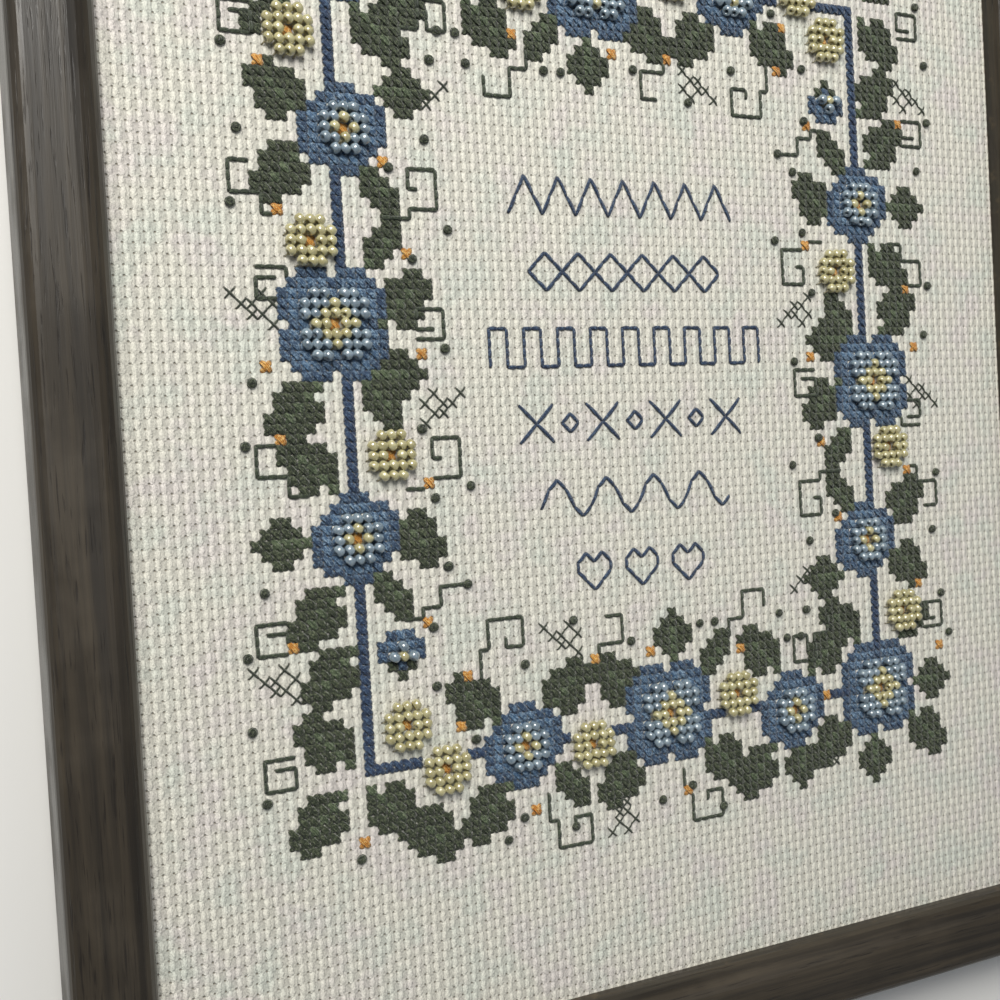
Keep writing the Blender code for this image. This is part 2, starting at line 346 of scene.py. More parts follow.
@dataclass
class MeshStock:
    """Gathers repeated closed forms and makes one mesh of them."""

    points: list[np.ndarray] = field(default_factory=list)
    faces: list[np.ndarray] = field(default_factory=list)
    marks: list[np.ndarray] = field(default_factory=list)
    count: int = 0

    def add(self, points: np.ndarray, faces: list[np.ndarray], marks: np.ndarray | None = None) -> None:
        """Add points and the faces between them.

        Args:
            points: Rows of three numbers, in metres.
            faces: Index tables, one for each number of corners.
            marks: Three numbers a point for the thread's pattern, if it has one.
        """
        self.points.append(points)
        self.faces += [table + self.count for table in faces]
        self.marks.append(np.zeros_like(points) if marks is None else marks)
        self.count += len(points)

    def object(self, name: str, material: bpy.types.Material) -> bpy.types.Object:
        """Make the gathered forms one smooth object.

        Args:
            name: The piece's name.
            material: Its finish.

        Returns:
            The new object.
        """
        mesh = bpy.data.meshes.new(name)
        points = np.concatenate(self.points).astype(np.float32)
        corners = np.concatenate([table.ravel() for table in self.faces]).astype(np.int32)
        sizes = np.concatenate([np.full(len(table), table.shape[1]) for table in self.faces])
        starts = np.concatenate([[0], np.cumsum(sizes)[:-1]]).astype(np.int32)
        mesh.vertices.add(len(points))
        mesh.vertices.foreach_set("co", points.ravel())
        mesh.loops.add(len(corners))
        mesh.loops.foreach_set("vertex_index", corners)
        mesh.polygons.add(len(starts))
        mesh.polygons.foreach_set("loop_start", starts)
        mesh.update(calc_edges=True)
        mesh.validate()
        mesh.shade_smooth()
        marks = mesh.attributes.new(STRAND_MARK, "FLOAT_VECTOR", "POINT")
        marks.data.foreach_set("vector", np.concatenate(self.marks).astype(np.float32).ravel())
        mesh.materials.append(material)
        return linked(name, mesh)


# Threads carry their length in mm.
MM_PER_METRE = 1000

# Corners of a thread's section, anticlockwise, in half widths and half heights.
Section = tuple[tuple[float, float], ...]
TWO_PLIES: Section = ((1.0, 0.0), (0.80, 0.75), (0.42, 1.0), (0.0, 0.50), (-0.42, 1.0), (-0.80, 0.75),
                      (-1.0, 0.0), (0.0, -0.6))
ONE_PLY: Section = tuple((math.cos(math.tau * side / 6), math.sin(math.tau * side / 6)) for side in range(6))

# Where a short stitch has its rings, as shares of its length.
STITCH_STOPS = (0.0, 0.14, 0.5, 0.86, 1.0)
THIN_STOPS = (0.0, 0.16, 0.5, 0.84, 1.0)


@dataclass(frozen=True)
class Strand:
    """A strand's cross section and how it bows between two holes, in metres."""

    half_width: float
    half_height: float
    end_width: float
    end_height: float
    dip: float
    rise: float
    stops: tuple[float, ...] = (0.0, 0.13, 0.37, 0.63, 0.87, 1.0)
    section: Section = TWO_PLIES
    unevenness: float = 0.08
    sway: float = 0.035
    fullness: float = 0.55

    def lay(self, stock: MeshStock, starts: np.ndarray, ends: np.ndarray, lift: np.ndarray,
            chance: np.random.Generator) -> None:
        """Lay a strand from each start to its end.

        Args:
            stock: Where the forms are gathered.
            starts: Plan positions in metres, one row each.
            ends: Plan positions in metres, one row each.
            lift: How much higher than the cloth each strand lies.
            chance: The source of the small differences from stitch to stitch.
        """
        count, stops = len(starts), np.array(self.stops)
        if not count:
            return
        along = ends - starts
        length = np.linalg.norm(along, axis=1, keepdims=True)
        along = along / length
        across = np.stack([-along[:, 1], along[:, 0]], axis=1)
        bow = np.sin(math.pi * stops)[None, :]
        swell = bow ** self.fullness
        uneven = 1 + self.unevenness * chance.uniform(-1, 1, (count, 3))
        sway = CELL * self.sway * chance.uniform(-1, 1, (count, 1)) * bow
        plan = (starts[:, None, :] + along[:, None, :] * (length * stops[None, :])[:, :, None]
                + across[:, None, :] * sway[:, :, None])
        height = CLOTH_TOP + lift[:, None] + self.dip + (self.rise * uneven[:, :1] - self.dip) * swell
        centres = np.concatenate([plan, height[:, :, None]], axis=2)
        widths = self.end_width + (self.half_width * uneven[:, 1:2] - self.end_width) * swell
        heights = self.end_height + (self.half_height * uneven[:, 2:3] - self.end_height) * swell
        sides = np.concatenate([across, np.zeros((count, 1))], axis=1)[:, None, :].repeat(len(stops), axis=1)
        lots = chance.uniform(0, 1, count)
        sweep(stock, centres, sides, widths, heights, self.section, lots)


def sweep(stock: MeshStock, centres: np.ndarray, sides: np.ndarray, widths: np.ndarray,
          heights: np.ndarray, section: Section, lots: np.ndarray) -> None:
    """Sweep one section along many lines of equally many points, with closed ends.

    Args:
        stock: Where the forms are gathered.
        centres: Line by point by three.
        sides: The direction across each line at each point.
        widths: Half width at each point.
        heights: Half height at each point.
        section: Corners of the section.
        lots: A number from 0 to 1 for each line, which tells stitches apart.
    """
    lines, stops, corners = centres.shape[0], centres.shape[1], len(section)
    side_share, up_share = np.array(section).T
    up = np.array((0.0, 0.0, 1.0))
    points = (centres[:, :, None, :]
              + sides[:, :, None, :] * (widths[:, :, None] * side_share)[..., None]
              + up * (heights[:, :, None] * up_share)[..., None])
    travel = np.concatenate([np.zeros((lines, 1)),
                             np.cumsum(np.linalg.norm(np.diff(centres, axis=1), axis=2), axis=1)], axis=1)
    marks = np.empty(points.shape)
    marks[..., 0] = (travel * MM_PER_METRE)[:, :, None]
    marks[..., 1] = side_share * 0.5 + 0.5
    marks[..., 2] = lots[:, None, None]
    line, stop, corner = np.meshgrid(np.arange(lines), np.arange(stops - 1), np.arange(corners),
                                     indexing="ij")
    first = line * stops * corners + stop * corners
    following = (corner + 1) % corners
    quads = np.stack([first + corner, first + following, first + corners + following,
                      first + corners + corner], axis=-1).reshape(-1, 4)
    base = (np.arange(lines) * stops * corners)[:, None]
    near = base + np.arange(corners)[::-1]
    far = base + (stops - 1) * corners + np.arange(corners)
    stock.add(points.reshape(-1, 3), [quads, np.concatenate([near, far])], marks.reshape(-1, 3))


class Wire:
    """What a node puts out: a number, a colour or a vector. Numbers can be used in plain sums."""

    def __init__(self, sheet: "NodeSheet", socket: bpy.types.NodeSocket) -> None:
        """Keep the socket and the sheet that it lies on."""
        self.sheet = sheet
        self.socket = socket

    def __add__(self, other: "Value") -> "Wire":
        """The sum of this and another value."""
        return self.sheet.math("ADD", self, other)

    def __sub__(self, other: "Value") -> "Wire":
        """What is left of this without another value."""
        return self.sheet.math("SUBTRACT", self, other)

    def __rsub__(self, other: float) -> "Wire":
        """What is left of a number without this."""
        return self.sheet.math("SUBTRACT", other, self)

    def __mul__(self, other: "Value") -> "Wire":
        """The product of this and another value."""
        return self.sheet.math("MULTIPLY", self, other)

    def __truediv__(self, other: "Value") -> "Wire":
        """How many times another value goes into this."""
        return self.sheet.math("DIVIDE", self, other)

    def __abs__(self) -> "Wire":
        """This without its sign."""
        return self.sheet.math("ABSOLUTE", self)


Value = float | tuple | Wire


class NodeSheet:
    """Lays nodes into one tree and joins them."""

    def __init__(self, tree: bpy.types.NodeTree) -> None:
        """Keep the tree that the nodes go into."""
        self.tree = tree

    def add(self, kind: str, *values: Value, **settings: object) -> bpy.types.Node:
        """Add a node.

        Args:
            kind: The node's type.
            values: What goes into its inputs, from the first one on.
            settings: Its properties.

        Returns:
            The new node.
        """
        node = self.tree.nodes.new(kind)
        for name, value in settings.items():
            setattr(node, name, value)
        for target, value in zip(node.inputs, values):
            self.feed(target, value)
        return node

    def feed(self, target: bpy.types.NodeSocket, value: Value) -> None:
        """Join a wire to an input, or set the input's own value.

        Args:
            target: The input.
            value: A wire or a plain value.
        """
        if isinstance(value, Wire):
            self.tree.links.new(value.socket, target)
        else:
            target.default_value = value

    def fill(self, node: bpy.types.Node, values: dict[str | int, Value]) -> None:
        """Feed some inputs of a node, by their names or numbers."""
        for name, value in values.items():
            self.feed(node.inputs[name], value)

    def out(self, node: bpy.types.Node, output: int | str = 0) -> Wire:
        """One output of a node."""
        return Wire(self, node.outputs[output])

    def wires(self, node: bpy.types.Node) -> dict[str, Wire]:
        """All outputs of a node, by their names."""
        return {socket.name: Wire(self, socket) for socket in node.outputs}

    def math(self, operation: str, *values: Value, clamp: bool = False) -> Wire:
        """Reckon with one, two or three numbers, and keep the result from 0 to 1 if clamped."""
        return self.out(self.add("ShaderNodeMath", *values, operation=operation, use_clamp=clamp))

    def vector(self, operation: str, *values: Value) -> Wire:
        """Reckon with vectors, for the operations that put out a vector."""
        return self.out(self.add("ShaderNodeVectorMath", *values, operation=operation))

    def stretch(self, vector: Wire, scale: tuple[float, float, float]) -> Wire:
        """Multiply a vector by three numbers."""
        return self.vector("MULTIPLY", vector, scale)

    def scaled(self, value: Wire, factor: Value) -> Wire:
        """Multiply a colour or a vector by one number.

        Args:
            value: The colour or vector.
            factor: The number.

        Returns:
            The product.
        """
        node = self.add("ShaderNodeVectorMath", value, operation="SCALE")
        self.fill(node, {"Scale": factor})
        return self.out(node)

    def range(self, value: Wire, low: Value, high: Value, to_low: float = 0.0, to_high: float = 1.0) -> Wire:
        """Bring a value smoothly from the range of low to high to another range."""
        return self.out(self.add("ShaderNodeMapRange", value, low, high, to_low, to_high,
                                 interpolation_type="SMOOTHSTEP"))

    def mix(self, factor: Wire, first: Value, second: Value) -> Wire:
        """Mix two colours by a factor.

        Args:
            factor: The second colour's share.
            first: The first colour.
            second: The second colour.

        Returns:
            The mixed colour.
        """
        node = self.add("ShaderNodeMix", data_type="RGBA")
        self.fill(node, {MIX_FACTOR: factor, MIX_FIRST: with_alpha(first), MIX_SECOND: with_alpha(second)})
        return self.out(node, MIX_RESULT)

    def noise(self, vector: Wire, scale: Value, detail: float = 2.0, roughness: float = 0.5) -> Wire:
        """A soft noise from 0 to 1.

        Args:
            vector: Where it is read.
            scale: How fine it is.
            detail: How many finer layers it has.
            roughness: How strong the finer layers are.

        Returns:
            The noise.
        """
        node = self.add("ShaderNodeTexNoise", noise_dimensions="3D")
        self.fill(node, {"Vector": vector, "Scale": scale, "Detail": detail, "Roughness": roughness})
        return self.out(node)

    def shaken(self, place: Wire, scale: float, reach: tuple[float, float, float]) -> Wire:
        """Shift a place a little by a soft noise.

        Args:
            place: The place.
            scale: How fine the noise is.
            reach: The whole range of the shift, each way.

        Returns:
            The shifted place.
        """
        node = self.add("ShaderNodeTexNoise", noise_dimensions="2D")
        self.fill(node, {"Vector": place, "Scale": scale, "Detail": 1.0})
        moved = self.vector("MULTIPLY_ADD", self.out(node, "Color"), reach, place)
        return self.vector("SUBTRACT", moved, tuple(value / 2 for value in reach))

    def split(self, vector: Wire) -> tuple[Wire, Wire, Wire]:
        """The three numbers of a vector."""
        node = self.add("ShaderNodeSeparateXYZ", vector)
        return self.out(node, 0), self.out(node, 1), self.out(node, 2)

    def joined(self, x: Value, y: Value, z: Value) -> Wire:
        """A vector of three numbers."""
        return self.out(self.add("ShaderNodeCombineXYZ", x, y, z))

    def place(self, kind: str = "Object") -> Wire:
        """The place on the object in metres, or another of the texture coordinates."""
        return self.out(self.add("ShaderNodeTexCoord"), kind)

    def strand(self) -> Wire:
        """The pattern that the mesh carries: how far along in mm, how far around, and the stitch's lot."""
        return self.out(self.add("ShaderNodeAttribute", attribute_name=STRAND_MARK), "Vector")

    def group(self, tree: bpy.types.NodeTree, **values: Value) -> dict[str, Wire]:
        """Place a node group with its own values.

        Args:
            tree: The group.
            values: What goes into its inputs, by name.

        Returns:
            What the group puts out, by name.
        """
        node = self.add("ShaderNodeGroup", node_tree=tree)
        self.fill(node, values)
        return self.wires(node)

    def bump(self, height: Wire, distance: float, strength: float = 1.0) -> Wire:
        """A normal that a height bends.

        Args:
            height: The height, in units of the distance.
            distance: What a height of one is in metres.
            strength: How much of it shows.

        Returns:
            The normal.
        """
        node = self.add("ShaderNodeBump")
        self.fill(node, {"Strength": strength, "Distance": distance, "Height": height})
        return self.out(node)


def with_alpha(value: Value) -> Value:
    """Give a plain colour its fourth number."""
    return (*value, 1.0) if isinstance(value, tuple) else value


@dataclass(frozen=True)
class Ramp:
    """Where a value begins and ends to tell, and what it is brought to there."""

    low: float
    high: float
    to_low: float = 0.0
    to_high: float = 1.0

    def over(self, value: Wire) -> Wire:
        """Bring a value smoothly from one range to the other."""
        return value.sheet.range(value, self.low, self.high, self.to_low, self.to_high)


@dataclass(frozen=True)
class Noise:
    """A soft noise: how fine it is, its finer layers, their strength, and how it is drawn out."""

    scale: float
    detail: float = 2.0
    roughness: float = 0.5
    drawn: tuple[float, float, float] | None = None

    def at(self, place: Wire) -> Wire:
        """The noise at a place, from 0 to 1."""
        spot = place.sheet.stretch(place, self.drawn) if self.drawn else place
        return place.sheet.noise(spot, self.scale, self.detail, self.roughness)


@dataclass(frozen=True)
class Shake:
    """A small uneven shift: how fine it is, and its whole range each way."""

    scale: float
    reach: tuple[float, float, float]

    def of(self, place: Wire) -> Wire:
        """The place, shifted."""
        return place.sheet.shaken(place, self.scale, self.reach)


@dataclass(frozen=True)
class WeaveFloat:
    """One rounded float of the weave, measured in cells, and how high it stands in its middle."""

    across: float
    along: float
    half_width: float
    half_length: float
    height: float = 1.0
    roundness: float = 1.15

    def dome(self, u: Wire, v: Wire) -> Wire:
        """The float's height at a place, which is 0 outside it.

        Args:
            u: The place across the float.
            v: The place along the float.

        Returns:
            The height.
        """
        off_u = (u - self.across) / self.half_width
        off_v = (v - self.along) / self.half_length
        rest = u.sheet.math("SUBTRACT", 1.0, off_u * off_u + off_v * off_v, clamp=True)
        return u.sheet.math("POWER", rest, self.roundness) * self.height


EVEN_FLOAT = WeaveFloat(0.38, 0.50, 0.38, 0.86)
EVEN_SHOULDER = WeaveFloat(0.82, 0.50, 0.22, 0.70, 0.44)
ODD_FLOAT = WeaveFloat(0.28, 0.50, 0.38, 0.86, 1.04)
LEVEL_FLOAT = WeaveFloat(0.0, 0.62, 0.22, 0.40, 0.36)
LEVEL_NUB = WeaveFloat(0.0, 0.24, 0.20, 0.15, 0.95)

# The finer layers of all soft patches.
CLOUD_DETAIL = 4.0
CLOUD_ROUGHNESS = 0.55

# The weave's unevenness, holes and fibres, measured in cells.
FLOAT_SWAY = Shake(0.9, (0.16, 0.10, 0.0))
RAGGED_EDGE = Shake(4.5, (0.20, 0.16, 0.0))
HOLE_EDGE = Ramp(0.04, 0.14, 1.0, 0.0)
HOLE_DEPTH = 0.6
SHOULDER_BLEND = 0.12
LEVEL_BLEND = 0.15
CLOTH_FIBRE = Noise(8.5, 3.0, 0.58, (1.0, 0.30, 1.0))
CLOTH_FLUFF = Noise(6.5, 3.0, 0.62, (1.0, 0.70, 1.0))
FIBRE_HEIGHT = 0.34
FLUFF_SHOWS = Ramp(0.27, 0.42)

# The thread's twist and fibres, measured in mm along it and in its section's width around it.
TWIST_WANDER = Noise(0.9, 1.0)
WANDER_TURNS = 1.6
TURNS_ACROSS = 3.6
THREAD_FIBRE = Noise(2.0, 3.0, 0.65)
FIBRES_ACROSS = 2.4
THREAD_LINT = Noise(2700.0, 2.0, 0.65)
PLY_HEIGHT = 0.34
LINT_HEIGHT = 0.8
FLECK_SHOWS = Ramp(0.48, 0.59)
# Painted shade in the grooves between the plies.
PLY_GAP_SHADE = Ramp(-1.0, 0.0, 0.36, 1.0)

# How far apart two stitches' patterns are read, by what is read there.
LOT_WANDER = 53.0
LOT_TURNS = 40.0
LOT_ALONG = 97.0
LOT_ACROSS = 31.0
LOT_TINT = 57.3

# The wood's fibres, bent a little, and its pores.
GRAIN_BEND = Noise(1.0, drawn=(9.0, 60.0, 60.0))
BEND_REACH = (0.0, 0.004, 0.004)
WOOD_GRAIN = Noise(1.0, 5.0, 0.62, (14.0, 520.0, 520.0))
WOOD_PORES = Noise(1.0, drawn=(120.0, 2600.0, 2600.0))
GRAIN_SHOWS = Ramp(0.3, 0.7)
PORES_SHOW = Ramp(0.58, 0.72)


class Effect:
    """Shader node groups that several materials use, each built once."""

    @staticmethod
    def begin(name: str, inputs: dict[str, float | None], outputs: tuple[str, ...],
              ) -> tuple[NodeSheet, dict[str, Wire], bpy.types.Node]:
        """Begin a group with its named sockets.

        Args:
            name: The group's name.
            inputs: The usual value of each input, with None for a vector.
            outputs: The names of the outputs, which are all plain numbers.

        Returns:
            The group's sheet, what it is given, and its output node.
        """
        tree = bpy.data.node_groups.new(name, "ShaderNodeTree")
        for socket, usual in inputs.items():
            kind = "NodeSocketVector" if usual is None else "NodeSocketFloat"
            made = tree.interface.new_socket(name=socket, in_out="INPUT", socket_type=kind)
            if usual is not None:
                made.default_value = usual
        for socket in outputs:
            tree.interface.new_socket(name=socket, in_out="OUTPUT", socket_type="NodeSocketFloat")
        sheet = NodeSheet(tree)
        return sheet, sheet.wires(sheet.add("NodeGroupInput")), sheet.add("NodeGroupOutput")

    @staticmethod
    @cache
    def mottle() -> bpy.types.NodeTree:
        """Soft cloudy patches, such as stains, lint and wear, as a mask from 0 to 1.

        Returns:
            The group.
        """
        sheet, given, put = Effect.begin(
            "mottle", {"Vector": None, "Scale": 50.0, "Low": 0.4, "High": 0.6}, ("Mask",))
        noise = sheet.noise(given["Vector"], given["Scale"], CLOUD_DETAIL, CLOUD_ROUGHNESS)
        sheet.fill(put, {"Mask": sheet.range(noise, given["Low"], given["High"])})
        return sheet.tree

    @staticmethod
    @cache
    def block_weave() -> bpy.types.NodeTree:
        """The cloth's blocks: a hole at each cell's corner and upright floats in half drop.

        Returns:
            The group.
        """
        sheet, given, put = Effect.begin(
            "block_weave", {"Vector": None, "Cells": 1 / CELL}, ("Height", "Hole", "Float", "Fluff"))
        place = sheet.scaled(given["Vector"], given["Cells"])
        moved = FLOAT_SWAY.of(place)
        ragged = RAGGED_EDGE.of(moved)
        x, y, _ = sheet.split(moved)
        u, v = sheet.math("FRACT", x), sheet.math("FRACT", y)
        odd = abs(sheet.math("MODULO", sheet.math("FLOOR", x) + sheet.math("FLOOR", y), 2.0))
        edge_u, edge_v = 0.5 - abs(u - 0.5), 0.5 - abs(v - 0.5)
        corner = sheet.math("SQRT", edge_u * edge_u + edge_v * edge_v)
        hole = HOLE_EDGE.over(corner)
        shift_u, shift_v, _ = sheet.split(sheet.vector("SUBTRACT", ragged, moved))
        loose_u, loose_v = u + shift_u, v + shift_v
        shoulder = EVEN_SHOULDER.dome(loose_u, loose_v)
        even = sheet.math("SMOOTH_MAX", EVEN_FLOAT.dome(loose_u, loose_v), shoulder, SHOULDER_BLEND)
        upright = even * (1.0 - odd) + ODD_FLOAT.dome(loose_u, loose_v) * odd
        level = sheet.math("MAXIMUM", LEVEL_FLOAT.dome(edge_v, loose_u), LEVEL_NUB.dome(edge_v, loose_u))
        floats = sheet.math("SMOOTH_MAX", upright, level, LEVEL_BLEND)
        loose = CLOTH_FIBRE.at(ragged) * FIBRE_HEIGHT + CLOTH_FLUFF.at(place) * FIBRE_HEIGHT
        sheet.fill(put, {"Height": floats + loose - hole * HOLE_DEPTH, "Hole": hole, "Float": floats,
                         "Fluff": FLUFF_SHOWS.over(loose)})
        return sheet.tree

    @staticmethod
    @cache
    def floss() -> bpy.types.NodeTree:
        """Stranded thread: twisted plies, loose fibres, pale flecks, a tint for each stitch and painted shade
        between the plies.

        Returns:
            The group.
        """
        sheet, given, put = Effect.begin(
            "floss", {"Strand": None, "Vector": None, "Twist": 0.4}, ("Height", "Fleck", "Tint", "GapShade"))
        along, around, lot = sheet.split(given["Strand"])
        wander = TWIST_WANDER.at(sheet.joined(along, around, lot * LOT_WANDER))
        turns = along * given["Twist"] + around * TURNS_ACROSS + lot * LOT_TURNS + wander * WANDER_TURNS
        ply = sheet.math("SINE", turns * math.tau)
        fibre = THREAD_FIBRE.at(
            sheet.joined(along + lot * LOT_ALONG, around * FIBRES_ACROSS, lot * LOT_ACROSS))
        lint = THREAD_LINT.at(given["Vector"])
        sheet.fill(put, {"Height": ply * PLY_HEIGHT + (fibre + lint * LINT_HEIGHT),
                         "Fleck": FLECK_SHOWS.over(fibre * 0.5 + lint * 0.5),
                         "Tint": sheet.math("FRACT", lot * LOT_TINT),
                         "GapShade": PLY_GAP_SHADE.over(ply)})
        return sheet.tree

    @staticmethod
    @cache
    def wood_grain() -> bpy.types.NodeTree:
        """Long fibres and short pores, read along the first number of the vector.

        Returns:
            The group.
        """
        sheet, given, put = Effect.begin("wood_grain", {"Vector": None}, ("Grain", "Pores"))
        bend = GRAIN_BEND.at(given["Vector"])
        aside = sheet.joined(0.0, bend, bend)
        bent = sheet.vector("MULTIPLY_ADD", aside, BEND_REACH, given["Vector"])
        sheet.fill(put, {"Grain": GRAIN_SHOWS.over(WOOD_GRAIN.at(bent)),
                         "Pores": PORES_SHOW.over(WOOD_PORES.at(bent))})
        return sheet.tree


@dataclass(frozen=True)
class Mottle:
    """Soft patches of one fineness, with where the noise begins and ends to show."""

    scale: float
    low: float
    high: float

    def mask(self, sheet: NodeSheet, place: Wire) -> Wire:
        """Lay the patches over a place, as a mask from 0 to 1."""
        values = {"Vector": place, "Scale": self.scale, "Low": self.low, "High": self.high}
        return sheet.group(Effect.mottle(), **values)["Mask"]


@dataclass(frozen=True)
class Finish:
    """A surface. Each kind of finish says what goes into its shader."""

    name: str

    def sockets(self, sheet: NodeSheet, place: Wire) -> dict[str, Value]:
        """Work out what goes into the shader's inputs, at a place on the object in metres."""
        raise NotImplementedError

    def material(self) -> bpy.types.Material:
        """Build the material, which has one shader.

        Returns:
            The new material.
        """
        material = bpy.data.materials.new(self.name)
        material.use_nodes = True
        sheet = NodeSheet(material.node_tree)
        sheet.fill(material.node_tree.nodes["Principled BSDF"], self.sockets(sheet, sheet.place()))
        return material


@dataclass(frozen=True)
class ClothFinish(Finish):
    """White cotton in a block weave, faintly yellowed and mottled."""

    name: str = "white_block_weave"
    white: Colour = srgb(234, 231, 218)
    rosy: Colour = srgb(231, 224, 218)
    greenish: Colour = srgb(224, 227, 215)
    # Painted shade in the holes at the cells' corners.
    hole: Colour = srgb(150, 143, 128)
    rosy_patches: Mottle = Mottle(130.0, 0.45, 0.70)
    green_patches: Mottle = Mottle(110.0, 0.46, 0.70)
    green_shift: tuple[float, float, float] = (3.1, 1.7, 0.0)
    # Painted shade: the cloth is darker where the floats lie low and lighter on their tops.
    float_painted_shade: Ramp = Ramp(0.05, 0.95, 0.73, 1.045)
    # Painted shade: the cloth is darker where the loose fibres lie low.
    fluff_painted_shade: Ramp = Ramp(0.0, 1.0, 0.84, 1.10)
    relief: float = 0.00030
    roughness: float = 0.88
    sheen: float = 0.15

    def sockets(self, sheet: NodeSheet, place: Wire) -> dict[str, Value]:
        """The patches, the painted shade of the floats and fluff, the painted shade in the holes and the
        weave's relief.

        Args:
            sheet: The material's nodes.
            place: The place on the object, in metres.

        Returns:
            What goes into the shader's inputs, by their names.
        """
        weave = sheet.group(Effect.block_weave(), Vector=place)
        colour = sheet.mix(self.rosy_patches.mask(sheet, place), self.white, self.rosy)
        elsewhere = sheet.vector("ADD", place, self.green_shift)
        colour = sheet.mix(self.green_patches.mask(sheet, elsewhere), colour, self.greenish)
        # Painted shade of the floats and of the loose fibres, scaled into the colour.
        colour = sheet.scaled(colour, self.float_painted_shade.over(weave["Float"]))
        colour = sheet.scaled(colour, self.fluff_painted_shade.over(weave["Fluff"]))
        # The holes are mixed towards a darker colour: painted shade.
        return {"Base Color": sheet.mix(weave["Hole"], colour, self.hole),
                "Roughness": self.roughness,
                "Sheen Weight": self.sheen,
                "Normal": sheet.bump(weave["Height"], self.relief)}


@dataclass(frozen=True)
class ThreadFinish(Finish):
    """Stranded cotton of one colour."""

    dark: Colour
    light: Colour
    fleck: Colour
    slot: str
    clouds: Mottle = Mottle(420.0, 0.35, 0.65)
    tint_share: float = 0.45
    cloud_share: float = 0.30
    # Painted light: the thread is lighter where its plies and fibres stand higher.
    ridge_light_share: float = 0.25
    fleck_share: float = 0.85
    twist: float = 0.4
    relief: float = 0.00016
    roughness: float = 0.70
    sheen: float = 0.30
    sheen_roughness: float = 0.4

    def sockets(self, sheet: NodeSheet, place: Wire) -> dict[str, Value]:
        """The stitch's tint, the painted shade in the gaps between plies, the painted light on the ridges,
        the pale flecks and the twist's relief.

        Args:
            sheet: The material's nodes.
            place: The place on the object, in metres.

        Returns:
            What goes into the shader's inputs, by their names.
        """
        floss = sheet.group(Effect.floss(), Strand=sheet.strand(), Vector=place, Twist=self.twist)
        tone = floss["Tint"] * self.tint_share + self.clouds.mask(sheet, place) * self.cloud_share
        # Painted light on the plies' ridges, then painted shade in the gaps between them.
        tone = sheet.math("ADD", tone, floss["Height"] * self.ridge_light_share, clamp=True)
        colour = sheet.scaled(sheet.mix(tone, self.dark, self.light), floss["GapShade"])
        return {"Base Color": sheet.mix(floss["Fleck"] * self.fleck_share, colour, self.fleck),
                "Roughness": self.roughness,
                "Sheen Weight": self.sheen,
                "Sheen Roughness": self.sheen_roughness,
                "Normal": sheet.bump(floss["Height"], self.relief)}


@dataclass(frozen=True)
class BeadFinish(Finish):
    """Pearly glass of one colour, which lets a little light through."""

    body: Colour
    pale: Colour
    slot: str
    clouds: Mottle = Mottle(900.0, 0.3, 0.7)
    tint_spread: float = 31.7
    cloud_share: float = 0.35
    # Painted light: the glass is paler at its rim, where it turns away from the view.
    rim_light_blend: float = 0.45
    rim_light_share: float = 0.75
    hole_shade: Ramp = Ramp(0.0, 0.40, 0.58, 1.0)
    smears: Ramp = Ramp(0.0, 1.0, 0.24 * 0.8, 0.24 * 1.3)
    index: float = 1.60
    specular: float = 0.9
    coat: float = 1.0
    coat_index: float = 1.8
    coat_roughness: float = 0.12
    glow: float = 0.6
    glow_depth: float = 0.0010
    glow_radius: Colour = (1.0, 0.9, 0.7)
    pits: Noise = Noise(2600.0, 2.0)
    pitting: float = 0.00001

    def sockets(self, sheet: NodeSheet, place: Wire) -> dict[str, Value]:
        """The bead's tint, the painted light at its rim, the painted shade near its hole, and the light in
        its glass.

        Args:
            sheet: The material's nodes.
            place: The place on the object, in metres.

        Returns:
            What goes into the shader's inputs, by their names.
        """
        _, around, lot = sheet.split(sheet.strand())
        clouds = self.clouds.mask(sheet, place)
        tint = sheet.math("FRACT", lot * self.tint_spread)
        # Painted light: paler towards the rim as the surface turns from the view.
        rim_light = sheet.out(sheet.add("ShaderNodeLayerWeight", self.rim_light_blend), "Facing")
        tint_and_rim_light = sheet.math("ADD", (tint + clouds) * self.cloud_share, rim_light * self.rim_light_share, clamp=True)
        colour = sheet.mix(tint_and_rim_light, self.body, self.pale)
        return {"Base Color": sheet.scaled(colour, self.hole_shade.over(around)),
                "Roughness": self.smears.over(clouds),
                "Subsurface Weight": self.glow,
                "Subsurface Radius": self.glow_radius,
                "Subsurface Scale": self.glow_depth,
                "Coat Weight": self.coat,
                "Coat Roughness": self.coat_roughness,
                "Coat IOR": self.coat_index,
                "IOR": self.index,
                "Specular IOR Level": self.specular,
                "Normal": sheet.bump(self.pits.at(place), self.pitting)}


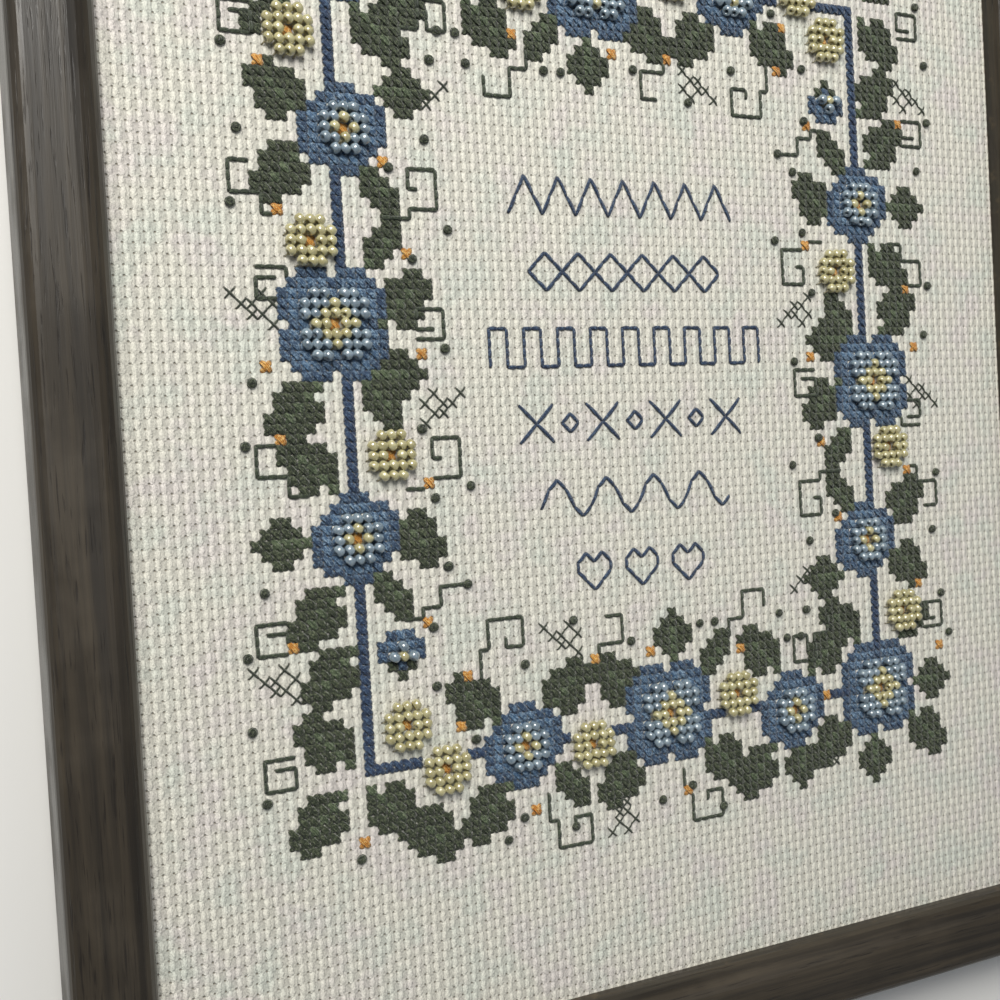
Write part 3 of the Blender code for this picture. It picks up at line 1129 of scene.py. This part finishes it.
@dataclass(frozen=True)
class WoodFinish(Finish):
    """Dark stained moulding with a low sheen, worn a little along its lip and bare behind."""

    lie: Lie
    dark: Colour = srgb(40, 35, 28)
    light: Colour = srgb(66, 58, 46)
    worn: Colour = srgb(100, 84, 62)
    raw: Colour = srgb(150, 122, 88)
    pores: Colour = srgb(24, 19, 15)
    wear: Mottle = Mottle(330.0, 0.55, 0.72)
    smears: Mottle = Mottle(45.0, 0.35, 0.7)
    smear_shades: Ramp = Ramp(0.0, 1.0, 0.85, 1.12)
    smear_roughness: Ramp = Ramp(0.0, 1.0, 0.34, 0.50)
    pore_share: float = 0.7
    lip_from: Ramp = Ramp(0.0104, 0.0104 + 0.0004)
    lip_to: Ramp = Ramp(0.0122, 0.0122 + 0.0012, 1.0, 0.0)
    wear_share: float = 0.45
    back_facing: Ramp = Ramp(-0.9, -0.6, 1.0, 0.0)
    bare_share: float = 0.85
    bare_dark: float = 0.72
    bare_roughness: float = 0.35
    relief: float = 0.00006
    relief_share: float = 0.6

    def sockets(self, sheet: NodeSheet, place: Wire) -> dict[str, Value]:
        """The grain and pores, the smears in the stain, the worn lip and the bare back.

        Args:
            sheet: The material's nodes.
            place: The place on the object, in metres.

        Returns:
            What goes into the shader's inputs, by their names.
        """
        x, y, z = sheet.split(place)
        along = sheet.joined(y, x, z) if self.lie is Lie.UPRIGHT else sheet.joined(x, y, z)
        wood = sheet.group(Effect.wood_grain(), Vector=along)
        smears = self.smears.mask(sheet, place)
        colour = sheet.mix(wood["Grain"], self.dark, self.light)
        colour = sheet.scaled(colour, self.smear_shades.over(smears))
        colour = sheet.mix(wood["Pores"] * self.pore_share, colour, self.pores)
        lip = self.lip_from.over(z) * self.lip_to.over(z)
        colour = sheet.mix(lip * (self.wear.mask(sheet, place) * self.wear_share), colour, self.worn)
        _, _, facing = sheet.split(sheet.place("Normal"))
        behind = self.back_facing.over(facing)
        bare = sheet.mix(wood["Grain"], self.raw, tuple(value * self.bare_dark for value in self.raw))
        return {"Base Color": sheet.mix(behind * self.bare_share, colour, bare),
                "Roughness": self.smear_roughness.over(smears) + behind * self.bare_roughness,
                "Normal": sheet.bump(wood["Grain"] - wood["Pores"], self.relief, self.relief_share)}


@dataclass(frozen=True)
class BoardFinish(Finish):
    """Grey-white mounting board with pulp fibres."""

    name: str = "grey_pulp_board"
    pale: Colour = srgb(203, 196, 180)
    grey: Colour = srgb(176, 169, 154)
    stain: Colour = srgb(158, 140, 108)
    pulp: Noise = Noise(1800.0, 4.0, 0.65, (1.0, 0.5, 1.0))
    fibres: Mottle = Mottle(2400.0, 0.6, 0.74)
    fibre_draw: tuple[float, float, float] = (1.0, 0.16, 1.0)
    fibre_share: float = 0.5
    stains: Mottle = Mottle(24.0, 0.5, 0.8)
    stain_share: float = 0.4
    roughness: Ramp = Ramp(0.2, 0.8, 0.82, 0.95)
    relief: float = 0.00004

    def sockets(self, sheet: NodeSheet, place: Wire) -> dict[str, Value]:
        """The pulp, its longer fibres and faint stains.

        Args:
            sheet: The material's nodes.
            place: The place on the object, in metres.

        Returns:
            What goes into the shader's inputs, by their names.
        """
        pulp = self.pulp.at(place)
        fibres = self.fibres.mask(sheet, sheet.stretch(place, self.fibre_draw))
        colour = sheet.mix(fibres * self.fibre_share, sheet.mix(pulp, self.pale, self.grey), self.grey)
        stains = self.stains.mask(sheet, place)
        return {"Base Color": sheet.mix(stains * self.stain_share, colour, self.stain),
                "Roughness": self.roughness.over(pulp),
                "Normal": sheet.bump(pulp, self.relief)}


@dataclass(frozen=True)
class SteelFinish(Finish):
    """Dull steel strip, brushed by the rolls and darker in patches."""

    name: str = "dull_steel_strip"
    bright: Colour = srgb(168, 166, 160)
    dull: Colour = srgb(112, 104, 94)
    patches: Mottle = Mottle(420.0, 0.42, 0.68)
    brushing: Noise = Noise(1.0, 3.0, 0.6, (3200.0, 260.0, 3200.0))
    roughness: Ramp = Ramp(0.2, 0.8, 0.30, 0.52)
    relief: float = 0.000015

    def sockets(self, sheet: NodeSheet, place: Wire) -> dict[str, Value]:
        """The dull patches and the brushed lines.

        Args:
            sheet: The material's nodes.
            place: The place on the object, in metres.

        Returns:
            What goes into the shader's inputs, by their names.
        """
        brushed = self.brushing.at(place)
        return {"Base Color": sheet.mix(self.patches.mask(sheet, place), self.bright, self.dull),
                "Metallic": 1.0,
                "Roughness": self.roughness.over(brushed),
                "Normal": sheet.bump(brushed, self.relief)}


@dataclass(frozen=True)
class FloorFinish(Finish):
    """Plain pale floor, a trace darker in wide patches."""

    name: str = "pale_floor"
    pale: Colour = srgb(232, 231, 228)
    darker: float = 0.97
    patches: Mottle = Mottle(6.0, 0.3, 0.7)
    roughness: float = 0.8

    def sockets(self, sheet: NodeSheet, place: Wire) -> dict[str, Value]:
        """The two pale tones.

        Args:
            sheet: The material's nodes.
            place: The place on the object, in metres.

        Returns:
            What goes into the shader's inputs, by their names.
        """
        second = tuple(value * self.darker for value in self.pale)
        return {"Base Color": sheet.mix(self.patches.mask(sheet, place), self.pale, second),
                "Roughness": self.roughness}


DARK_BLUE = ThreadFinish("cotton_dark_blue", srgb(20, 40, 66), srgb(52, 80, 114), srgb(118, 144, 168),
                         "thread_blue")
MID_BLUE = ThreadFinish("cotton_mid_blue", srgb(30, 56, 88), srgb(78, 114, 150), srgb(150, 176, 198),
                        "thread_blue")
NAVY = ThreadFinish("cotton_navy", srgb(20, 38, 68), srgb(42, 66, 102), srgb(88, 112, 140), "thread_blue")
DARK_GREEN = ThreadFinish("cotton_dark_green", srgb(26, 35, 20), srgb(52, 63, 40), srgb(108, 116, 90),
                          "thread_green")
MID_GREEN = ThreadFinish("cotton_mid_green", srgb(42, 56, 34), srgb(80, 96, 66), srgb(128, 140, 110),
                         "thread_green")
TWIG_GREEN = ThreadFinish("cotton_twig_green", srgb(46, 56, 42), srgb(64, 76, 56), srgb(96, 106, 84),
                          "thread_green")
ORANGE = ThreadFinish("cotton_orange", srgb(200, 118, 34), srgb(232, 160, 62), srgb(246, 206, 130),
                      "thread_warm")
PALE_YELLOW = ThreadFinish("cotton_pale_yellow", srgb(206, 190, 132), srgb(222, 210, 160),
                           srgb(240, 232, 200), "thread_warm")
BLUE_PEARL = BeadFinish("glass_pale_blue", srgb(84, 102, 116), srgb(160, 178, 190), "bead_blue")
CREAM_PEARL = BeadFinish("glass_cream", srgb(156, 147, 98), srgb(210, 204, 160), "bead_cream")


def put_on(piece: bpy.types.Object) -> None:
    """Make a piece ride on the sampler's one body and log its triangles.

    Args:
        piece: The piece.
    """
    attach(piece, BODY)
    triangles = sum(len(face.vertices) - 2 for face in piece.data.polygons)
    LOG.info("%s: %d triangles", piece.name, triangles)


@dataclass
class WovenCloth:
    """The one sheet of cloth, from its dimpled face round to the mitred margins on the back."""

    fold: float = 0.0013
    margin: float = 0.0380
    slit: float = 0.0006
    fold_steps: int = 4
    hole_dip: float = 0.00020
    upright_dip: float = 0.00008
    level_dip: float = 0.00004
    odd_dip: float = 0.00003
    flat: tuple[float, float] = (0.290, 0.341)
    flat_area: float = 0.0857

    def face_grid(self, stock: MeshStock) -> np.ndarray:
        """Lay the face, with two points a cell each way.

        Args:
            stock: Where the mesh is gathered.

        Returns:
            The indices of the grid's points, row by row.
        """
        columns = np.arange(-2 * HALF_COLUMNS + 2, 2 * HALF_COLUMNS - 1)
        rows = np.arange(-2 * HALF_ROWS + 2, 2 * HALF_ROWS - 1)
        i, j = np.meshgrid(columns, rows)
        dip = np.zeros(i.shape)
        at_column, at_row = i % 2 == 0, j % 2 == 0
        dip[at_column & at_row] = self.hole_dip
        dip[at_column & ~at_row] = self.upright_dip
        dip[~at_column & at_row] = self.level_dip
        odd = ~at_column & ~at_row & ((i // 2 + j // 2) % 2 == 1)
        dip[odd] = self.odd_dip
        border = (np.abs(i) == columns[-1]) | (np.abs(j) == rows[-1])
        dip[border] = 0.0
        points = np.stack([i * CELL / 2, j * CELL / 2, CLOTH_TOP - dip], axis=-1).reshape(-1, 3)
        width = len(columns)
        index = np.arange(len(points)).reshape(len(rows), width)
        quads = np.stack([index[:-1, :-1], index[:-1, 1:], index[1:, 1:], index[1:, :-1]], axis=-1)
        stock.add(points, [quads.reshape(-1, 4)])
        return index

    def rings(self) -> list[tuple[float, float]]:
        """Inset from the panel's edge and height of each ring, from the face round to the inside.

        Returns:
            Inset and height of each ring.
        """
        turns = [math.pi / 2 * step / self.fold_steps for step in range(1, self.fold_steps + 1)]
        rings = [(self.fold * (1 - math.sin(turn)), CLOTH_TOP - self.fold * (1 - math.cos(turn)))
                 for turn in turns]
        rings += [(self.fold * (1 - math.cos(turn)), CLOTH_BOTTOM + self.fold * (1 - math.sin(turn)))
                  for turn in [0.0, *turns]]
        inset, floor, roof = CLOTH_THICKNESS, CLOTH_BOTTOM + CLOTH_THICKNESS, CLOTH_TOP - CLOTH_THICKNESS
        return rings + [(self.fold * 2, CLOTH_BOTTOM), (self.margin, CLOTH_BOTTOM), (self.margin, floor),
                        (self.fold * 2, floor), (inset, floor), (inset, roof)]

    def ring_points(self, inset: float, height: float, columns: int, rows: int) -> np.ndarray:
        """Points of one ring, anticlockwise from the lower left corner's right-hand point.

        Args:
            inset: How far the ring lies inside the panel's edge.
            height: The ring's height.
            columns: Points along the lower and upper sides.
            rows: Points along the other sides.

        Returns:
            The ring's points, side by side, with both corners' points of each side.
        """
        half_width, half_height = HALF_COLUMNS * CELL - inset, HALF_ROWS * CELL - inset
        cut = self.slit / math.sqrt(2)
        x = np.linspace(-half_width + cut, half_width - cut, columns)
        y = np.linspace(-half_height + cut, half_height - cut, rows)
        level, upright = np.full(columns, half_height), np.full(rows, half_width)
        plan = np.concatenate([np.stack([x, -level], 1), np.stack([upright, y], 1),
                               np.stack([x[::-1], level], 1), np.stack([-upright, y[::-1]], 1)])
        return np.concatenate([plan, np.full((len(plan), 1), height)], axis=1)

    def build(self) -> bpy.types.Object:
        """Returns:
            The new piece.
        """
        stock = MeshStock()
        grid = self.face_grid(stock)
        rows, columns = grid.shape
        outline = np.concatenate([grid[0], grid[:, -1], grid[-1, ::-1], grid[::-1, 0]])
        starts = np.array([0, columns, columns + rows, 2 * columns + rows])
        loops = [outline]
        for inset, height in self.rings():
            points = self.ring_points(inset, height, columns, rows)
            loops.append(stock.count + np.arange(len(points)))
            stock.add(points, [])
        ends = np.concatenate([starts[1:], [len(outline)]]) - 1
        along = np.setdiff1d(np.arange(len(outline)), ends)
        after = (ends + 1) % len(outline)
        # The mitres are slits through the four rings of the margins. Two rings inside follow.
        slit_from = len(loops) - 6
        quads = []
        for number, (outer, inner) in enumerate(zip(loops, loops[1:])):
            quads.append(np.stack([outer[along + 1], outer[along], inner[along], inner[along + 1]], 1))
            if number == 0:
                stock.faces.append(np.stack([outer[ends], inner[ends], inner[after]], 1))
            elif number < slit_from or number > slit_from + 2:
                quads.append(np.stack([outer[after], outer[ends], inner[ends], inner[after]], 1))
        near, far, back, home = loops[slit_from:slit_from + 4]
        quads.append(np.stack([near[ends], far[ends], back[ends], home[ends]], 1)[:, ::-1])
        quads.append(np.stack([near[after], far[after], back[after], home[after]], 1))
        quads.append(np.stack([near[ends], near[after], home[after], home[ends]], 1)[:, ::-1])
        stock.faces += quads
        stock.faces.append(loops[-1][::-1][None, :])
        cloth = stock.object("block_weave_cloth", ClothFinish().material())
        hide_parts("aida_cloth")
        put_on(cloth)
        return cloth


@dataclass
class CrossStitches:
    """Every counted cross, its under leg one way and its top leg the other."""

    under: Strand = Strand(0.00062, 0.00022, 0.00034, 0.00014, -0.00018, 0.00014,
                           stops=STITCH_STOPS, section=ONE_PLY)
    over: Strand = Strand(0.00060, 0.00022, 0.00034, 0.00014, -0.00014, 0.00036)
    below_bead: Strand = Strand(0.00080, 0.00018, 0.00046, 0.00014, -0.00012, 0.00010,
                                stops=STITCH_STOPS, section=ONE_PLY)
    thin_under: Strand = Strand(0.00020, 0.00014, 0.00014, 0.00010, -0.00015, 0.00010,
                                stops=THIN_STOPS, section=ONE_PLY)
    thin_over: Strand = Strand(0.00021, 0.00015, 0.00014, 0.00010, -0.00015, 0.00026,
                               stops=THIN_STOPS, section=ONE_PLY)
    seed: int = 11

    def lay(self, name: str, cells: list[Hole], finish: ThreadFinish, thin: bool = False,
            half: bool = False) -> None:
        """Work some cells in one thread, as one piece.

        Args:
            name: The piece's name.
            cells: The cells to fill.
            finish: The thread.
            thin: Whether the crosses are of a single strand.
            half: Whether only the under leg is worked.
        """
        chance = np.random.default_rng(self.seed + len(cells))
        corner = np.array(sorted(cells), dtype=float)
        stock = MeshStock()
        level = np.zeros(len(corner))
        under = self.thin_under if thin else self.below_bead if half else self.under
        under.lay(stock, corner * CELL, (corner + 1) * CELL, level, chance)
        if not half:
            over = self.thin_over if thin else self.over
            over.lay(stock, (corner + (0, 1)) * CELL, (corner + (1, 0)) * CELL, level, chance)
        put_on(stock.object(name, finish.material()))

    def build(self, filled: dict[Hole, Letter]) -> None:
        """Work every cross of the chart.

        Args:
            filled: The filled cells.
        """
        of = {letter: [cell for cell, mark in filled.items() if mark is letter] for letter in Letter}
        self.lay("crosses_dark_blue", of[Letter.DARK_BLUE], DARK_BLUE)
        self.lay("crosses_mid_blue", of[Letter.MID_BLUE], MID_BLUE)
        self.lay("half_crosses_mid_blue", of[Letter.BLUE_BEAD], MID_BLUE, half=True)
        self.lay("line_navy", of[Letter.NAVY], NAVY)
        self.lay("crosses_orange", of[Letter.ORANGE], ORANGE)
        self.lay("leaves_left", [cell for cell in of[Letter.DARK_GREEN] if cell[0] < 0], DARK_GREEN)
        self.lay("leaves_right", [cell for cell in of[Letter.DARK_GREEN] if cell[0] >= 0], DARK_GREEN)
        self.lay("leaf_veins", of[Letter.MID_GREEN], MID_GREEN)
        self.lay("sprigs", of[Letter.THIN_GREEN], TWIG_GREEN, thin=True)


@dataclass
class BeadWork:
    """Seed beads, each sewn down across its cell with half a cross."""

    radius: float = 0.00104
    half_length: float = 0.00074
    hole_radius: float = 0.00026
    seat: float = 0.00018
    around: int = 16
    section: int = 10
    lean: float = 0.20
    stray: float = 0.025
    seat_spread: tuple[float, float] = (-0.00004, 0.00010)
    size_spread: tuple[float, float] = (-0.05, 0.03)
    thread: Strand = Strand(0.00017, 0.00015, 0.00013, 0.00011, -0.00015, 0.00100,
                            stops=(0.0, 0.1, 0.22, 0.5, 0.78, 0.9, 1.0), section=ONE_PLY)
    seed: int = 29

    def lay(self, name: str, cells: list[Hole], finish: BeadFinish, thread: ThreadFinish) -> None:
        """Sew beads of one colour on some cells.

        Args:
            name: The piece's name.
            cells: The cells to fill.
            finish: The glass.
            thread: The thread that holds them.
        """
        chance = np.random.default_rng(self.seed + len(cells))
        corner = np.array(sorted(cells), dtype=float)
        count = len(corner)
        middle = (corner + 0.5) * CELL + chance.normal(0, CELL * self.stray, (count, 2))
        height = CLOTH_TOP + self.seat + self.radius + chance.uniform(*self.seat_spread, count)
        heading = math.pi / 4 + chance.normal(0, self.lean, count)
        slope = chance.normal(0, self.lean, count)
        axis = np.stack([np.cos(heading) * np.cos(slope), np.sin(heading) * np.cos(slope), np.sin(slope)], 1)
        side = np.stack([-np.sin(heading), np.cos(heading), np.zeros(count)], 1)
        lift = np.cross(axis, side)
        size = 1 + chance.uniform(*self.size_spread, count)
        turn = np.arange(self.around) * math.tau / self.around
        bulge = (np.arange(self.section) + 0.5) * math.tau / self.section
        wall = (self.radius - self.hole_radius) / 2
        ring = self.hole_radius + wall + wall * np.cos(bulge)
        reach = self.half_length * np.sin(bulge)
        out = (side[:, None, None, :] * np.cos(turn)[None, :, None, None]
               + lift[:, None, None, :] * np.sin(turn)[None, :, None, None]) * ring[None, None, :, None]
        points = (np.concatenate([middle, height[:, None]], 1)[:, None, None, :]
                  + (out + axis[:, None, None, :] * reach[None, None, :, None]) * size[:, None, None, None])
        marks = np.empty(points.shape)
        marks[..., 0] = 0.0
        marks[..., 1] = (ring / self.radius)[None, None, :]
        marks[..., 2] = chance.uniform(0, 1, count)[:, None, None]
        index = np.arange(count * self.around * self.section).reshape(count, self.around, self.section)
        beside, onward = np.roll(index, -1, axis=1), np.roll(index, -1, axis=2)
        quads = np.stack([index, beside, np.roll(beside, -1, axis=2), onward], -1)
        stock = MeshStock()
        stock.add(points.reshape(-1, 3), [quads.reshape(-1, 4)], marks.reshape(-1, 3))
        put_on(stock.object(name, finish.material()))
        threads = MeshStock()
        self.thread.lay(threads, corner * CELL, (corner + 1) * CELL, np.zeros(count), chance)
        put_on(threads.object(name + "_thread", thread.material()))

    def build(self, filled: dict[Hole, Letter]) -> None:
        """Sew every bead of the chart.

        Args:
            filled: The filled cells.
        """
        self.lay("beads_pale_blue", [cell for cell, mark in filled.items() if mark is Letter.BLUE_BEAD],
                 BLUE_PEARL, MID_BLUE)
        self.lay("beads_cream", [cell for cell, mark in filled.items() if mark is Letter.CREAM_BEAD],
                 CREAM_PEARL, PALE_YELLOW)


@dataclass
class FrenchKnots:
    """Knots of thread wound twice about the needle and drawn down over a hole."""

    coil: float = 0.00062
    half_width: float = 0.00036
    half_height: float = 0.00028
    wraps: float = 2.0
    taper: float = 0.30
    unevenness: float = 0.06
    squeeze: tuple[float, float] = (1.04, 0.20)
    end_share: float = 0.45
    end_growth: float = 7.0
    cap_turn: float = 0.7
    cap_reach: float = 0.85
    stops: int = 19
    low: float = 0.00024
    high: float = 0.00066
    cap: Strand = Strand(0.00034, 0.00020, 0.00024, 0.00014, 0.00050, 0.00084,
                         stops=(0.0, 0.25, 0.5, 0.75, 1.0), section=ONE_PLY)
    seed: int = 43

    def build(self, holes: list[Hole]) -> None:
        """Wind every knot.

        Args:
            holes: The holes under the knots.
        """
        chance = np.random.default_rng(self.seed)
        centres = np.array(holes, dtype=float) * CELL
        count = len(centres)
        begin = chance.uniform(0, math.tau, count)
        share = np.linspace(0, 1, self.stops)
        turn = begin[:, None] + share[None, :] * self.wraps * math.tau
        uneven = 1 + self.unevenness * chance.uniform(-1, 1, (count, 1))
        reach = self.coil * (1 - self.taper * share[None, :]) * uneven
        squeeze = self.squeeze[0] + self.squeeze[1] * chance.uniform(0, 1, (count, 1))
        x = centres[:, :1] + reach * np.cos(turn) * squeeze
        y = centres[:, 1:] + reach * np.sin(turn)
        z = CLOTH_TOP + self.low + (self.high - self.low) * share[None, :].repeat(count, 0)
        line = np.stack([x, y, z], axis=-1)
        sides = np.stack([-np.cos(turn), -np.sin(turn), np.zeros(turn.shape)], -1)
        thick = np.minimum(1.0, self.end_share + np.minimum(share, 1 - share) * self.end_growth)
        thick = thick[None, :].repeat(count, 0)
        stock = MeshStock()
        sweep(stock, line, sides, self.half_width * thick, self.half_height * thick,
              ONE_PLY, chance.uniform(0, 1, count))
        lean = begin + self.cap_turn
        arm = np.stack([np.cos(lean), np.sin(lean)], 1) * self.coil * self.cap_reach
        self.cap.lay(stock, centres - arm, centres + arm, np.zeros(count), chance)
        put_on(stock.object("french_knots", DARK_GREEN.material()))


@dataclass
class BackStitches:
    """Lines of stitches that run from hole to hole."""

    twig: Strand = Strand(0.00040, 0.00024, 0.00030, 0.00018, 0.00000, 0.00024,
                          stops=THIN_STOPS, section=ONE_PLY)
    band: Strand = Strand(0.00038, 0.00023, 0.00026, 0.00017, -0.00004, 0.00024,
                          stops=STITCH_STOPS, section=ONE_PLY)
    over_leaf: float = 0.00042
    seed: int = 61

    def lay(self, name: str, steps: list[Step], lift: np.ndarray, strand: Strand,
            finish: ThreadFinish) -> None:
        """Work some stitches as one piece.

        Args:
            name: The piece's name.
            steps: The stitches, from hole to hole.
            lift: How much higher than the cloth each lies.
            strand: The thread's size.
            finish: The thread's finish.
        """
        ends = np.array(steps, dtype=float) * CELL
        stock = MeshStock()
        strand.lay(stock, ends[:, 0], ends[:, 1], lift, np.random.default_rng(self.seed))
        put_on(stock.object(name, finish.material()))

    def build(self, chart: Chart, filled: dict[Hole, Letter]) -> None:
        """Work the twigs and the bands.

        Args:
            chart: The design.
            filled: The filled cells.
        """
        twigs = chart.twig_steps(filled)
        lift = np.array([self.over_leaf if over else 0.0 for _, over in twigs])
        self.lay("backstitch_twigs", [step for step, _ in twigs], lift, self.twig, TWIG_GREEN)
        bands = chart.band_steps()
        self.lay("backstitch_bands", bands, np.zeros(len(bands)), self.band, NAVY)


@dataclass
class Mounting:
    """The rails, the board and the steel points, which keep their own solids."""

    upright: tuple[str, ...] = ("rail_left", "rail_right")
    level: tuple[str, ...] = ("rail_top", "rail_bottom")
    board: tuple[str, ...] = ("mount_board",)

    def dress(self, nodes: tuple[str, ...], material: bpy.types.Material) -> None:
        """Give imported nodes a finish.

        Args:
            nodes: The nodes' names.
            material: The finish.
        """
        for name in nodes:
            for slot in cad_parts[name].material_slots:
                slot.material = material
            LOG.info("%s: dressed in %s", name, material.name)

    def build(self) -> None:
        """Dress every node that stays."""
        self.dress(self.upright, WoodFinish("stained_wood_upright", Lie.UPRIGHT).material())
        self.dress(self.level, WoodFinish("stained_wood_level", Lie.LEVEL).material())
        self.dress(self.board, BoardFinish().material())
        points = tuple(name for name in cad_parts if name.startswith("point_"))
        self.dress(points, SteelFinish().material())


@dataclass(frozen=True)
class Lamp:
    """A soft rectangular lamp."""

    name: str
    place: tuple[float, float, float]
    aim: tuple[float, float, float]
    size: float
    watts: float
    colour: Colour

    def build(self) -> None:
        """Hang the lamp and turn it to its aim."""
        light = bpy.data.lights.new(self.name, "AREA")
        light.shape = "SQUARE"
        light.size = self.size
        light.energy = self.watts
        light.color = self.colour
        made = linked(self.name, light)
        made.location = self.place
        towards = Vector(self.aim) - Vector(self.place)
        made.rotation_euler = towards.to_track_quat("-Z", "Y").to_euler()


@dataclass
class Studio:
    """A plain pale floor, soft light and the camera."""

    lamps: tuple[Lamp, ...] = (
        Lamp("window_light", (-0.24, 0.42, 0.60), (0.02, -0.02, 0.01), 0.34, 6.2, (1.0, 0.98, 0.93)),
        Lamp("room_light", (0.30, 0.20, 0.90), (0.0, 0.0, 0.0), 0.80, 0.60, (0.94, 0.97, 1.0)),
    )
    surround: Colour = (0.90, 0.94, 1.0)
    surround_strength: float = 0.22
    floor_half: float = 1.6
    floor_drop: float = 0.0002
    focal: float = 44.28
    sensor: float = 36.0
    nearest: float = 0.01
    eye: tuple[float, float, float] = (-0.12850, -0.01951, 0.21926)
    right: tuple[float, float, float] = (0.90319, -0.05592, 0.42558)
    back: tuple[float, float, float] = (-0.42447, 0.03097, 0.90491)

    def floor(self) -> None:
        """Lay the floor under the sampler."""
        half = self.floor_half
        corners = [(-half, -half), (half, -half), (half, half), (-half, half)]
        mesh = bpy.data.meshes.new("floor")
        mesh.from_pydata([(x, y, -self.floor_drop) for x, y in corners], [], [(0, 1, 2, 3)])
        mesh.materials.append(FloorFinish().material())
        made = linked("floor", mesh)

    def camera(self) -> None:
        """Set the camera at the picture's angle."""
        right, back = Vector(self.right).normalized(), Vector(self.back).normalized()
        up = back.cross(right).normalized()
        right = up.cross(back)
        turn = Matrix((right, up, back)).transposed().to_4x4()
        data = bpy.data.cameras.new("picture_camera")
        data.lens = self.focal
        data.sensor_width = self.sensor
        data.clip_start = self.nearest
        made = linked("picture_camera", data)
        made.matrix_world = Matrix.Translation(self.eye) @ turn
        bpy.context.scene.camera = made

    def build(self) -> None:
        """Set up the floor, the light and the camera."""
        self.camera()
        self.floor()
        for lamp in self.lamps:
            lamp.build()
        world = bpy.data.worlds.new("room")
        world.use_nodes = True
        ground = world.node_tree.nodes["Background"]
        ground.inputs["Color"].default_value = (*self.surround, 1.0)
        ground.inputs["Strength"].default_value = self.surround_strength
        bpy.context.scene.world = world
        bpy.context.scene.view_settings.view_transform = "Standard"


def main() -> None:
    """Build the studio, then the sampler from the frame to the needlework."""
    logging.basicConfig(level=logging.INFO, format="%(name)s %(message)s")
    Studio().build()
    Mounting().build()
    WovenCloth().build()
    chart = Chart()
    filled = chart.cells()
    LOG.info("chart: %d filled cells", len(filled))
    CrossStitches().build(filled)
    BeadWork().build(filled)
    FrenchKnots().build(chart.knots())
    BackStitches().build(chart, filled)


if __name__ == "__main__":
    main()
